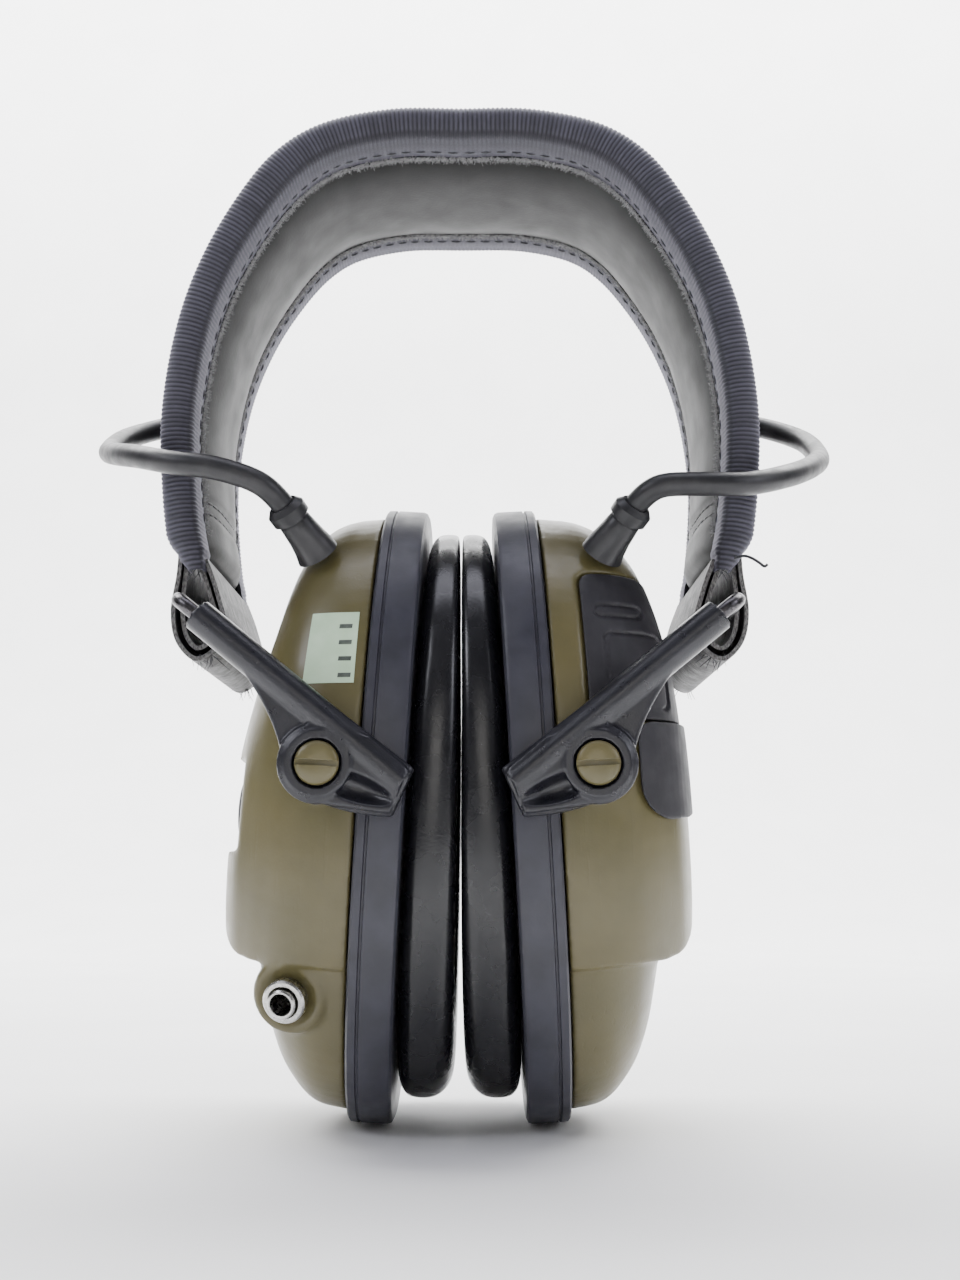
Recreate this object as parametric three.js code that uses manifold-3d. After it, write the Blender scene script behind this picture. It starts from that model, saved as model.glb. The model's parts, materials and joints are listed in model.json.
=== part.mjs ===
// Folding electronic earmuffs: a padded headband, two wire bails with moulded arms, and two ear cups.
// Millimetres, +Z up. The wearer looks along +Y, so +X is the wearer's right.
// The origin is the middle of the crown pad's underside, which rests on the head.
import * as THREE from 'three';
import { mergeVertices } from 'three/addons/utils/BufferGeometryUtils.js';
import Module from 'manifold-3d';

const wasm = await Module();
wasm.setup();

// Driving dimensions
const GAP = 0.3; // clearance between separate pieces
const SLIVER = 0.03; // edges shorter than this are noise from a cut
const BAND_HALF = 26; // headband half width
const BAND_THICK = 7.3; // headband thickness at the middle of its width
const EDGE_THICK = 4.8; // headband thickness at its bound edge
const SPREAD_Z = -6; // height of the shoulder line where the band flexes
const PAD_END_Z = -77;
const BAND_END_Z = -81.2;
const SPRING_END_Z = -73;
const CORD_ENTRY_Z = -40.5;

const WIRE_X = 46.8; // wire bail axis
const WIRE_Z = -88.8;
const WIRE_R = 1.25;
const LEG_Y = 40.6; // both legs of the bail run in planes of constant Y
const LEG_LENGTH = 43;
const LEG_ANGLE = THREE.MathUtils.degToRad(39.2); // legs below the horizontal, pointing inwards
const BEND_R = 3.5;
const BEND_STEPS = 5;

const PIVOT_X = 22.6; // cup pivot axis
const PIVOT_Z = -116.5;
const ARM_INNER = 38.3; // distance of the arm's inner face from the middle plane
const ARM_WEB = 3.6;
const TUBE_R = 2.75;
const TUBE_START = 4.5;
const TUBE_END = 49;
const BOSS_R = 5.8;
const BOSS_FACE = 43.2;
const PIVOT_HOLE_R = 2.3;
const HEAD_SEAT_R = 3.95; // sunk in the boss for the screw's head
const HEAD_SEAT_DEPTH = 1.3;

const LOOP = { half: 22.5, x: 46.6, z: -90.3, outer: [5.3, 8.5], inner: [3.7, 6.9], inset: 3 };

const CUP_X = 16.6; // centre of the base plate's outer face
const CUP_Z = -121.6;
const CUP_LEAN = THREE.MathUtils.degToRad(3.04); // cups lean together at the top
const PLATE_HALF = [37, 56.6];
const PLATE_THICK = 7.7;
const EAR_HALF = [19.5, 35]; // opening in the base plate
const WALL = 2.2;
const WALL_UNDER_PANEL = 2.9;
const FACE_X = 0.2; // the cushions press flat just short of the middle plane

const GROOVE_X = 20.8; // floor of the groove across the left cup's outer face
const GROOVE_HALF = 8;
const PIVOT_LOCAL = [6.3, 4.8]; // cup pivot, in the cup's own frame
const PIVOT_BOSS = { r: 5.2, inner: 29, outer: 37.8 };
const SHANK_R = 1.95;
const HEAD = { r: 3.6, inner: 42.15, face: 43.8, slotFloor: 43.1, slotHalf: 0.5 };

const MIC = { x: 12, z: 28, inner: 27, boss: 34.6, bossR: 5.6, holeR: 3.3, r: 2.9, coverR: 5.2 };
const KNOB = { z: -1.7, r: 7.4, face: 24.8, shaftStart: 19.6, shaftR: 2.9, holeR: 3.4 };
const JACK = { bossR: 6.3, boreR: 2.8, barrelR: 2.45, holeR: 1.8, nutR: 3.7, nutBoreR: 2.75, nutFace: 2.2 };
const CELL = { r: 5.05, half: 22.2, x: 11.6, zs: { lower: 16.8, upper: 27.3 } };
const PANEL = { inner: 6.2, low: 12.5, high: 39.2, proud: 0.15, back: -0.75, seat: -1.05, micGap: 0.5 };
const LATCH = { inner: 14, low: -4.5, high: 11.2, corner: 4, proud: 1.3, back: 0.5 };

const CORD_R = 2.1;
const CORD_SIDES = 8;
const CORD_STEPS = 22;
const RELIEF = { baseR: 3.6, neckR: 2.6, collarR: 3.3, collar: 3 };

const OLIVE = 0x5d5639;
const BLACK = 0x17171b;

// Materials
const paint = (color, roughness, metalness = 0) =>
  new THREE.MeshStandardMaterial({ color, roughness, metalness });
const LOOKS = {
  olive_plastic: () => paint(OLIVE, 0.42),
  black_plastic: () => paint(BLACK, 0.45),
  leatherette: () => paint(0x121214, 0.3),
  rubber: () => paint(0x202024, 0.7),
  fabric: () => paint(0x141416, 0.9),
  webbing: () => paint(0x1b1b1e, 0.95),
  leather: () => paint(0x2a2a2c, 0.6),
  steel: () => paint(0x9b9ca3, 0.3, 1),
  foam: () => paint(0x303034, 1),
  board: () => paint(0x1d5a34, 0.5),
  cell: () => paint(0x8a7a3a, 0.35, 0.6),
};

// Solids
function welded(geometry) {
  const bare = geometry.clone();
  bare.deleteAttribute('normal');
  bare.deleteAttribute('uv');
  return mergeVertices(bare, 1e-4);
}

function toSolid(geometry) {
  const merged = welded(geometry);
  return new wasm.Manifold(
    new wasm.Mesh({
      numProp: 3,
      vertProperties: new Float32Array(merged.attributes.position.array),
      triVerts: new Uint32Array(merged.index.array),
    }),
  );
}

// Back to a geometry, with the slivers that cuts leave along shared edges collapsed
function toGeometry(solid) {
  const mesh = solid.simplify(SLIVER).getMesh();
  const geometry = new THREE.BufferGeometry();
  geometry.setAttribute('position', new THREE.BufferAttribute(new Float32Array(mesh.vertProperties), 3));
  geometry.setIndex(new THREE.BufferAttribute(new Uint32Array(mesh.triVerts), 1));
  return geometry;
}

const join = (first, ...rest) => rest.reduce((a, b) => a.add(b), first);
const cut = (first, ...rest) => rest.reduce((a, b) => a.subtract(b), first);

function mirrored(geometry) {
  const copy = welded(geometry);
  copy.scale(-1, 1, 1);
  const index = copy.index.array;
  for (let i = 0; i < index.length; i += 3) {
    [index[i], index[i + 1]] = [index[i + 1], index[i]];
  }
  return copy;
}

function boxBetween(low, high) {
  const size = high.map((h, i) => h - low[i]);
  const middle = high.map((h, i) => (h + low[i]) / 2);
  return new THREE.BoxGeometry(...size).translate(...middle);
}

// A cylinder from one point to another
function rod(from, to, radius, sides = 20, endRadius = radius) {
  const a = new THREE.Vector3(...from);
  const b = new THREE.Vector3(...to);
  const way = b.clone().sub(a);
  const geometry = new THREE.CylinderGeometry(endRadius, radius, way.length(), sides);
  const turn = new THREE.Quaternion().setFromUnitVectors(new THREE.Vector3(0, 1, 0), way.clone().normalize());
  geometry.applyQuaternion(turn);
  const middle = a.add(b).multiplyScalar(0.5);
  return geometry.translate(middle.x, middle.y, middle.z);
}

const alongX = (x0, x1, y, z, radius, sides) => rod([x0, y, z], [x1, y, z], radius, sides);
const alongY = (y0, y1, x, z, radius, sides) => rod([x, y0, z], [x, y1, z], radius, sides);

// A closed body through matching rings, with flat ends. Every ring runs the same way round.
function loft(rings, capOutline) {
  const count = rings[0].length;
  const positions = rings.flat().flatMap((p) => [p.x, p.y, p.z]);
  const faces = [];
  for (let r = 0; r + 1 < rings.length; r += 1) {
    for (let i = 0; i < count; i += 1) {
      const a = r * count + i;
      const b = r * count + ((i + 1) % count);
      faces.push(a, b, b + count, a, b + count, a + count);
    }
  }
  const clockwise = THREE.ShapeUtils.isClockWise(capOutline);
  const last = (rings.length - 1) * count;
  for (const [a, second, third] of THREE.ShapeUtils.triangulateShape(capOutline, [])) {
    const [b, c] = clockwise ? [third, second] : [second, third];
    faces.push(a, c, b, last + a, last + b, last + c);
  }
  const geometry = new THREE.BufferGeometry();
  geometry.setAttribute('position', new THREE.Float32BufferAttribute(positions, 3));
  geometry.setIndex(faces);
  return outward(geometry);
}

// Turns a closed geometry's faces outwards if they all point in
function outward(geometry) {
  const p = geometry.attributes.position;
  const index = geometry.index.array;
  const corner = (i) => new THREE.Vector3().fromBufferAttribute(p, index[i]);
  let volume = 0;
  for (let i = 0; i < index.length; i += 3) {
    volume += corner(i).dot(corner(i + 1).cross(corner(i + 2)));
  }
  if (volume < 0) {
    for (let i = 0; i < index.length; i += 3) {
      [index[i], index[i + 1]] = [index[i + 1], index[i]];
    }
  }
  return geometry;
}

// A rounded oval, as points in a plane
function oval(halfWide, halfHigh, count, power = 2.4, middleHigh = 0) {
  const round = (v) => Math.sign(v) * Math.abs(v) ** (2 / power);
  return Array.from({ length: count }, (_, i) => {
    const angle = (i / count) * 2 * Math.PI;
    const across = halfWide * round(Math.cos(angle));
    return new THREE.Vector2(across, middleHigh + halfHigh * round(Math.sin(angle)));
  });
}

// A flat oval plate across the cup, from x0 to x1
function ovalPlate(half, x0, x1, count, hole = null, holeCount = 24) {
  const shape = new THREE.Shape(oval(...half, count));
  if (hole) {
    shape.holes.push(new THREE.Path(oval(...hole, holeCount)));
  }
  const geometry = new THREE.ExtrudeGeometry(shape, { depth: x1 - x0, bevelEnabled: false, steps: 1 });
  geometry.applyMatrix4(new THREE.Matrix4().set(0, 0, 1, x0, 1, 0, 0, 0, 0, 1, 0, 0, 0, 0, 0, 1));
  return geometry;
}

// Headband: its outer line from the crown to the right-hand end
const RIGHT_LINE = [
  [14, 7], [26, 3.9], [33.5, -1.3], [40.6, -10.2], [46.4, -20.5],
  [50.8, -33], [53.3, -50], [52.6, -67], [50.4, -82],
];
const bandLine = new THREE.CatmullRomCurve3([
  ...RIGHT_LINE.map(([x, z]) => new THREE.Vector3(-x, 0, z)).reverse(),
  new THREE.Vector3(0, 0, BAND_THICK),
  ...RIGHT_LINE.map(([x, z]) => new THREE.Vector3(x, 0, z)),
]);

// The place on the line, as a share of its length, where the right-hand half passes a height
function shareAtHeight(z) {
  let low = 0.5;
  let high = 1;
  for (let i = 0; i < 40; i += 1) {
    const middle = (low + high) / 2;
    if (bandLine.getPointAt(middle).z > z) {
      low = middle;
    } else {
      high = middle;
    }
  }
  return low;
}

// A band point: depth below the outer surface, and place across the band
function bandPoint(share, depth, y) {
  const p = bandLine.getPointAt(share);
  const t = bandLine.getTangentAt(share);
  return new THREE.Vector3(p.x + t.z * depth, y, p.z - t.x * depth);
}

function bandStrip(section, from, to, steps) {
  const rings = [];
  for (let i = 0; i <= steps; i += 1) {
    const share = from + ((to - from) * i) / steps;
    rings.push(section.map(([depth, y]) => bandPoint(share, depth, y)));
  }
  return loft(rings, section.map(([depth, y]) => new THREE.Vector2(depth, y)));
}

const COVER = [[0, -19.7], [1.2, -19.7], [1.2, 19.7], [0, 19.7]];
const SPRING = [[1.7, -12], [2.6, -12], [2.6, 12], [1.7, 12]];
const CORD_IN_BAND = oval(0.85, 0.85, 6, 2).map((p) => [2.35 + p.x, 16.2 + p.y]);
const PAD = [
  [3.5, -16.7], [3.5, 16.7], [EDGE_THICK, 16.7], [6.2, 12.5], [7, 7], [BAND_THICK, 2],
  [BAND_THICK, -2], [7, -7], [6.2, -12.5], [EDGE_THICK, -16.7],
];
const BINDING = [
  [0, -20], [0, -BAND_HALF], [EDGE_THICK, -BAND_HALF], [EDGE_THICK, -17],
  [EDGE_THICK - 0.9, -17], [EDGE_THICK - 0.9, 0.9 - BAND_HALF], [0.9, 0.9 - BAND_HALF], [0.9, -20],
];
const BINDING_FRONT = BINDING.map(([depth, y]) => [depth, -y]);

const spreadShare = shareAtHeight(SPREAD_Z);
const halfGap = (0.5 * GAP) / bandLine.getLength();

// Pieces of the crown, and of the right-hand side of the band
const CROWN_STEPS = 13;
const SIDE_STEPS = 9;
const crownStrip = (section) =>
  bandStrip(section, 1 - spreadShare + halfGap, spreadShare - halfGap, CROWN_STEPS);
const sideStrip = (section, endZ) =>
  bandStrip(section, spreadShare + halfGap, shareAtHeight(endZ), SIDE_STEPS);

// The leather loop that holds the wire: a ring with a tongue sewn in between cover and pad
function endLoop() {
  const around = ([halfWide, halfHigh], count) =>
    oval(halfWide, halfHigh, count, 2).map((p) => p.add(new THREE.Vector2(LOOP.x, LOOP.z)));
  const ring = new THREE.Shape(around(LOOP.outer, 28));
  ring.holes.push(new THREE.Path(around(LOOP.inner, 20)));
  const tongue = new THREE.Shape(
    [[46.5, -83], [48.6, -83], [49.1, -77.6], [47.7, -77.6]].map((p) => new THREE.Vector2(...p)),
  );
  const strip = (shape, half) => {
    const geometry = new THREE.ExtrudeGeometry(shape, { depth: 2 * half, bevelEnabled: false, steps: 1 });
    geometry.rotateX(Math.PI / 2);
    return toSolid(geometry.translate(0, half, 0));
  };
  return toGeometry(join(strip(ring, LOOP.half), strip(tongue, LOOP.half - LOOP.inset)));
}

// Wire bail and arms, right-hand side
const legWay = new THREE.Vector3(-Math.cos(LEG_ANGLE), 0, -Math.sin(LEG_ANGLE));
const alongLeg = (distance, y) => [WIRE_X + legWay.x * distance, y, WIRE_Z + legWay.z * distance];

function wireBail() {
  const corner = (side) =>
    Array.from({ length: BEND_STEPS + 1 }, (_, i) => {
      const angle = (i / BEND_STEPS) * (Math.PI / 2);
      const along = BEND_R * (1 - Math.sin(angle));
      return { along, y: side * (LEG_Y - BEND_R * (1 - Math.cos(angle))), angle };
    });
  const rear = corner(-1);
  const front = corner(1).reverse();
  const stops = [
    { along: LEG_LENGTH, y: -LEG_Y, angle: 0 }, ...rear, ...front, { along: LEG_LENGTH, y: LEG_Y, angle: 0 },
  ];
  const upright = new THREE.Vector3(0, 1, 0).cross(legWay);
  const rings = stops.map(({ along, y, angle }) => {
    const across = legWay.clone().multiplyScalar(Math.sin(angle));
    across.addScaledVector(new THREE.Vector3(0, 1, 0), y < 0 ? Math.cos(angle) : -Math.cos(angle));
    return oval(WIRE_R, WIRE_R, 10, 2).map((p) =>
      new THREE.Vector3(...alongLeg(along, y)).addScaledVector(across, p.x).addScaledVector(upright, p.y),
    );
  });
  return loft(rings, oval(WIRE_R, WIRE_R, 10, 2));
}

// The rear arm, on the -Y side. The front arm is its reflection in the middle plane.
function rearArm() {
  const outline = new THREE.Shape();
  outline.moveTo(41.6, -90.6);
  outline.lineTo(7.1, -117.2);
  outline.lineTo(10.6, -125);
  outline.quadraticCurveTo(21, -124.6, 26.4, -120.2);
  outline.quadraticCurveTo(28, -117, 29.2, -112.5);
  outline.quadraticCurveTo(32, -103.5, 43, -92.4);
  outline.closePath();
  const settings = { depth: ARM_WEB, bevelEnabled: false, steps: 1, curveSegments: 6 };
  const web = new THREE.ExtrudeGeometry(outline, settings);
  web.rotateX(Math.PI / 2);
  web.translate(0, -ARM_INNER, 0);
  const tube = rod(alongLeg(TUBE_START, -LEG_Y), alongLeg(TUBE_END, -LEG_Y), TUBE_R, 14);
  const boss = alongY(-ARM_INNER, -BOSS_FACE, PIVOT_X, PIVOT_Z, BOSS_R, 22);
  const boreEnd = LEG_LENGTH + BEND_R - 0.5;
  const bore = rod(alongLeg(TUBE_START - 3, -LEG_Y), alongLeg(boreEnd, -LEG_Y), WIRE_R + GAP, 10);
  const hole = alongY(-ARM_INNER + 2, -BOSS_FACE - 2, PIVOT_X, PIVOT_Z, PIVOT_HOLE_R, 14);
  const seat = alongY(-BOSS_FACE + HEAD_SEAT_DEPTH, -BOSS_FACE - 2, PIVOT_X, PIVOT_Z, HEAD_SEAT_R, 18);
  return toGeometry(
    cut(join(toSolid(web), toSolid(tube), toSolid(boss)), toSolid(bore), toSolid(hole), toSolid(seat)),
  );
}

function frontArm() {
  const geometry = rearArm();
  geometry.rotateZ(Math.PI);
  return mirrored(geometry);
}

// Ear cup, in its own frame: x outwards from the base plate, z up along it
// Levels of the shell: [x, top, bottom, half width]
const UPPER_LEVELS = [
  [0, 55, -54.6, 36.3], [7.3, 53.6, -53.6, 35.4], [12.1, 50.1, -50, 33.9], [15.3, 44.5, -46, 31.9],
  [18.3, 34, -42, 29.3], [21, 23.5, -38, 26.2], [23, 14, -32, 21.5], [24, 6.5, -24, 15.5],
];
const HOUSING_TOPS = [55, 53.9, 51.5, 48.5, 44, 36.5, 27, 15]; // fuller top over the cells
const LOWER_LEVELS = [
  [0, 55, -54.6, 34.9], [6.3, 54, -53.4, 33.8], [11.1, 50, -48.8, 31.8],
  [14.3, 42, -42.5, 29.3], [16.8, 30, -32.8, 25.8],
];
// Underside of the upper part, where it steps in to the lower part: [x, z]
const LEDGE = [[-3, -28.3], [17, -27.8], [20.6, -26.6], [22.9, -23.6], [24.4, -17]];

const levelsFor = (withHousing) =>
  UPPER_LEVELS.map(([x, top, bottom, half], i) => [x, withHousing ? HOUSING_TOPS[i] : top, bottom, half]);

function levelLoft(levels, grow = 0, count = 28) {
  const outline = ([, top, bottom, half]) =>
    oval(half + grow, (top - bottom) / 2 + grow, count, 2.4, (top + bottom) / 2);
  const rings = levels.map((level, i) => {
    const x = level[0] + (i === 0 ? 0 : grow);
    return outline(level).map((p) => new THREE.Vector3(x, p.x, p.y));
  });
  return toSolid(loft(rings, outline(levels[0])));
}

// A solid that runs right through the cup along y, from an outline in (x, z)
function throughCup(outline) {
  const shape = new THREE.Shape(outline.map((p) => new THREE.Vector2(...p)));
  const geometry = new THREE.ExtrudeGeometry(shape, { depth: 120, bevelEnabled: false, steps: 1 });
  geometry.rotateX(Math.PI / 2);
  return toSolid(geometry.translate(0, 60, 0));
}

// The space above the ledge, lowered by an amount
const aboveLedge = (drop) =>
  throughCup([...LEDGE.map(([x, z]) => [x, z - drop]), [60, -17 - drop], [60, 80], [-3, 80]]);

const outerForm = (withHousing, grow = 0) =>
  levelLoft(levelsFor(withHousing), grow).intersect(aboveLedge(grow)).add(levelLoft(LOWER_LEVELS, grow));

const JACK_AT = new THREE.Vector3(10, -28.6, -33.4);
const JACK_WAY = new THREE.Vector3(0.22, -0.93, -0.28).normalize();
const alongJack = (distance) => JACK_AT.clone().addScaledVector(JACK_WAY, distance).toArray();

function shell(isLeft) {
  const wall = isLeft ? WALL : WALL_UNDER_PANEL;
  const reach = isLeft ? 18.5 : 16; // the hollow stops at the last level below this
  const hollowed = (level) => [level[0], level[1] - wall, level[2] + wall, level[3] - wall];
  const capped = (levels, limit) => levels.filter(([x]) => x < limit).map(hollowed);
  const openEnd = (levels) => [[-2, ...levels[0].slice(1)], ...levels.slice(1)];
  const inner = levelLoft(openEnd(capped(levelsFor(!isLeft), reach)), 0, 20)
    .intersect(aboveLedge(-WALL))
    .add(levelLoft(openEnd(capped(LOWER_LEVELS, 14.5)), 0, 20));
  let body = outerForm(!isLeft).subtract(inner);
  if (isLeft) {
    const groove = boxBetween([GROOVE_X, -40, KNOB.z - GROOVE_HALF], [40, 40, KNOB.z + GROOVE_HALF]);
    body = cut(body, toSolid(groove));
  } else {
    body = body.subtract(panelSkin(PANEL.seat, 3, GAP));
  }
  for (const side of [-1, 1]) {
    const boss = alongY(side * PIVOT_BOSS.inner, side * PIVOT_BOSS.outer, ...PIVOT_LOCAL, PIVOT_BOSS.r, 24);
    const hole = alongY(side * (PIVOT_BOSS.inner - 1), side * 40, ...PIVOT_LOCAL, PIVOT_HOLE_R, 18);
    body = body.add(toSolid(boss)).subtract(toSolid(hole));
  }
  body = body.add(toSolid(alongY(MIC.inner, MIC.boss, MIC.x, MIC.z, MIC.bossR, 20)));
  body = body.subtract(toSolid(alongY(MIC.inner - 1, MIC.boss + 2, MIC.x, MIC.z, MIC.holeR, 16)));
  if (isLeft) {
    body = body.add(toSolid(rod(alongJack(-6), alongJack(0), JACK.bossR, 24)));
    body = body.subtract(toSolid(rod(alongJack(-12), alongJack(3), JACK.boreR, 18)));
    body = body.subtract(toSolid(alongX(15, GROOVE_X + 2, 0, KNOB.z, KNOB.holeR, 18)));
  } else {
    body = body.subtract(toSolid(boxBetween([9, -22.8, 11.5], [40, 22.8, 32.6])));
  }
  const trimmed = body.intersect(toSolid(boxBetween([GAP, -60, -80], [60, 60, 80])));
  return toGeometry(trimmed);
}

function basePlate() {
  return ovalPlate(PLATE_HALF, -PLATE_THICK, 0, 48, EAR_HALF);
}

// A soft ring, pressed flat where it meets the other cup's cushion
function cushion() {
  const around = 32;
  const line = oval(27, 43.5, around, 2.3, -0.8);
  const section = [
    [6.9, 0], [7.8, 3], [6.9, 7.2], [4.2, 9.8], [0, 10.8], [-4.2, 9.8], [-6.9, 7.2], [-7.8, 3], [-6.9, 0],
  ];
  const base = -PLATE_THICK - GAP;
  const positions = [];
  const cos = Math.cos(CUP_LEAN);
  const sin = Math.sin(CUP_LEAN);
  line.forEach((p, i) => {
    const before = line[(i + around - 1) % around];
    const after = line[(i + 1) % around];
    const tangent = after.clone().sub(before).normalize();
    for (const [out, rise] of section) {
      const y = p.x + tangent.y * out;
      const z = p.y - tangent.x * out;
      const pressed = (FACE_X - CUP_X + sin * z) / cos;
      positions.push(Math.max(base - rise, Math.min(pressed, base - 1)), y, z);
    }
  });
  const count = section.length;
  const faces = [];
  for (let i = 0; i < around; i += 1) {
    for (let j = 0; j < count; j += 1) {
      const a = i * count + j;
      const b = i * count + ((j + 1) % count);
      const c = ((i + 1) % around) * count + ((j + 1) % count);
      const d = ((i + 1) % around) * count + j;
      faces.push(a, b, c, a, c, d);
    }
  }
  for (let i = 0; i < positions.length; i += 3) {
    if (positions[i] > base) {
      positions[i] = base;
    }
  }
  const geometry = new THREE.BufferGeometry();
  geometry.setAttribute('position', new THREE.Float32BufferAttribute(positions, 3));
  geometry.setIndex(faces);
  return outward(geometry);
}

function speakerGrille() {
  let disc = toSolid(alongX(-3, -1.8, 0, 0, 17, 24));
  for (let i = 0; i < 6; i += 1) {
    const angle = (i / 6) * 2 * Math.PI;
    disc = disc.subtract(toSolid(alongX(-4, 0, 10 * Math.cos(angle), 10 * Math.sin(angle), 2.4, 6)));
  }
  return toGeometry(disc.subtract(toSolid(alongX(-4, 0, 0, 0, 2.4, 6))));
}

function speaker() {
  const profile = [[0, 0], [15, 0], [15, 1.6], [12, 4.2], [8, 4.2], [8, 7], [0, 7]];
  const turned = new THREE.LatheGeometry(profile.map(([r, h]) => new THREE.Vector2(r, h)), 16);
  turned.rotateZ(-Math.PI / 2);
  turned.translate(-1.4, 0, 0);
  return toGeometry(toSolid(turned));
}

function pivotScrew(side) {
  const head = alongY(side * HEAD.inner, side * HEAD.face, ...PIVOT_LOCAL, HEAD.r, 24);
  const shank = alongY(side * PIVOT_BOSS.inner, side * (HEAD.inner + 0.15), ...PIVOT_LOCAL, SHANK_R, 14);
  const [x, z] = PIVOT_LOCAL;
  const [near, far] = [side * HEAD.slotFloor, side * (HEAD.face + 1)].sort((a, b) => a - b);
  const slot = boxBetween([x - 5, near, z - HEAD.slotHalf], [x + 5, far, z + HEAD.slotHalf]);
  return toGeometry(cut(join(toSolid(head), toSolid(shank)), toSolid(slot)));
}

function strainRelief(base, tip) {
  const way = new THREE.Vector3(...tip).sub(new THREE.Vector3(...base)).normalize();
  const neck = new THREE.Vector3(...tip).addScaledVector(way, -RELIEF.collar).toArray();
  const taper = rod(base, tip, RELIEF.baseR, 16, RELIEF.neckR);
  return toGeometry(join(toSolid(taper), toSolid(rod(neck, tip, RELIEF.collarR, 16))));
}

// Positions on the cup in its own frame, from positions in the object's frame
function toCup([x, y, z]) {
  const dx = x - CUP_X;
  const dz = z - CUP_Z;
  const cos = Math.cos(CUP_LEAN);
  const sin = Math.sin(CUP_LEAN);
  return [dx * cos + dz * sin, y, dz * cos - dx * sin];
}

const RELIEF_BASE = [25.6, -24, -77.4];
const RELIEF_TIP = [31, -30, -70.3];

// Routes of the audio cables, as on the right, from the strain relief to the outside of the band
const CORD_ROUTES = {
  right: [
    [31.4, -30.45, -69.8], [34.6, -32.4, -67.8], [42, -32.9, -67.4], [50, -31.6, -67],
    [58, -26.5, -64.2], [65, -17, -59.6], [69.3, -5, -54], [68.6, 4, -48],
    [63, 11, -43.2], [57.5, 14, -41], [53.4, 14.5, -40.4],
  ],
  left: [
    [31.4, -30.45, -69.8], [34.6, -32.4, -67.2], [42, -32.8, -64.6], [50, -31.6, -63.2],
    [57.6, -26, -60.4], [64.2, -16.5, -57], [68.3, -5, -52.8], [67.8, 4, -47.6],
    [62.6, 11, -43.2], [57.3, 14, -41], [53.4, 14.5, -40.4],
  ],
};

function outerCord(side) {
  const extrudePath = new THREE.CatmullRomCurve3(CORD_ROUTES[side].map((p) => new THREE.Vector3(...p)));
  const section = new THREE.Shape(oval(CORD_R, CORD_R, CORD_SIDES, 2));
  const settings = { steps: CORD_STEPS, bevelEnabled: false, extrudePath };
  return toGeometry(toSolid(new THREE.ExtrudeGeometry(section, settings)));
}

function batteryTray() {
  const outer = toSolid(boxBetween([4.8, -23.3, 10.2], [12.6, 23.3, 33.6]));
  return toGeometry(outer.subtract(toSolid(boxBetween([6.2, -22.5, 11.4], [18, 22.5, 32.7]))));
}

// A skin that follows the outside of the right-hand shell where the battery panel lies
function panelSkin(back, front, margin) {
  const low = [PANEL.inner - margin, -45, PANEL.low - margin];
  const region = toSolid(boxBetween(low, [40, 45, PANEL.high + margin]));
  return outerForm(true, front).subtract(outerForm(true, back)).intersect(region);
}

function batteryDoor() {
  const opening = alongY(20, 45, MIC.x, MIC.z, MIC.bossR + PANEL.micGap, 24);
  return toGeometry(panelSkin(PANEL.back, PANEL.proud, 0).subtract(toSolid(opening)));
}

function doorLatch() {
  const { inner, low, high, corner } = LATCH;
  const lowCorner = [0, 1, 2, 3, 4].map((i) => {
    const angle = Math.PI + (i / 4) * (Math.PI / 2);
    return [inner + corner * (1 + Math.cos(angle)), low + corner * (1 + Math.sin(angle))];
  });
  const region = throughCup([[inner, high], ...lowCorner, [40, low], [40, high]]);
  return toGeometry(outerForm(true, LATCH.proud).subtract(outerForm(true, LATCH.back)).intersect(region));
}

function volumeKnob() {
  let knob = toSolid(alongX(GROOVE_X + GAP, KNOB.face, 0, KNOB.z, KNOB.r, 32));
  knob = knob.add(toSolid(alongX(KNOB.shaftStart, GROOVE_X + 1, 0, KNOB.z, KNOB.shaftR, 14)));
  const pointer = boxBetween([KNOB.face - 0.6, -0.6, KNOB.z + 2.5], [28, 0.6, KNOB.z + 9]);
  return toGeometry(knob.subtract(toSolid(pointer)));
}

function audioJack() {
  const barrel = toSolid(rod(alongJack(-11), alongJack(JACK.nutFace + 1), JACK.barrelR, 18));
  return toGeometry(barrel.subtract(toSolid(rod(alongJack(-9.5), alongJack(4), JACK.holeR, 14))));
}

function jackNut() {
  const ring = toSolid(rod(alongJack(GAP), alongJack(JACK.nutFace), JACK.nutR, 12));
  return toGeometry(ring.subtract(toSolid(rod(alongJack(-1), alongJack(4), JACK.nutBoreR, 16))));
}

const microphone = () => toGeometry(toSolid(alongY(MIC.inner + 1, 32, MIC.x, MIC.z, MIC.r, 14)));
const micCover = () =>
  toGeometry(toSolid(alongY(MIC.boss + GAP, MIC.boss + 1.6, MIC.x, MIC.z, MIC.coverR, 24)));

// Assembly
const earmuffs = new THREE.Group();

function put(parent, name, geometry, look) {
  const mesh = new THREE.Mesh(geometry, LOOKS[look]());
  mesh.name = name;
  parent.add(mesh);
}

put(earmuffs, 'crown_cover', crownStrip(COVER), 'fabric');
put(earmuffs, 'crown_spring', crownStrip(SPRING), 'steel');
put(earmuffs, 'crown_pad', crownStrip(PAD), 'leatherette');
put(earmuffs, 'crown_binding_rear', crownStrip(BINDING), 'webbing');
put(earmuffs, 'crown_binding_front', crownStrip(BINDING_FRONT), 'webbing');
put(earmuffs, 'crown_cable', crownStrip(CORD_IN_BAND), 'rubber');

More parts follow.
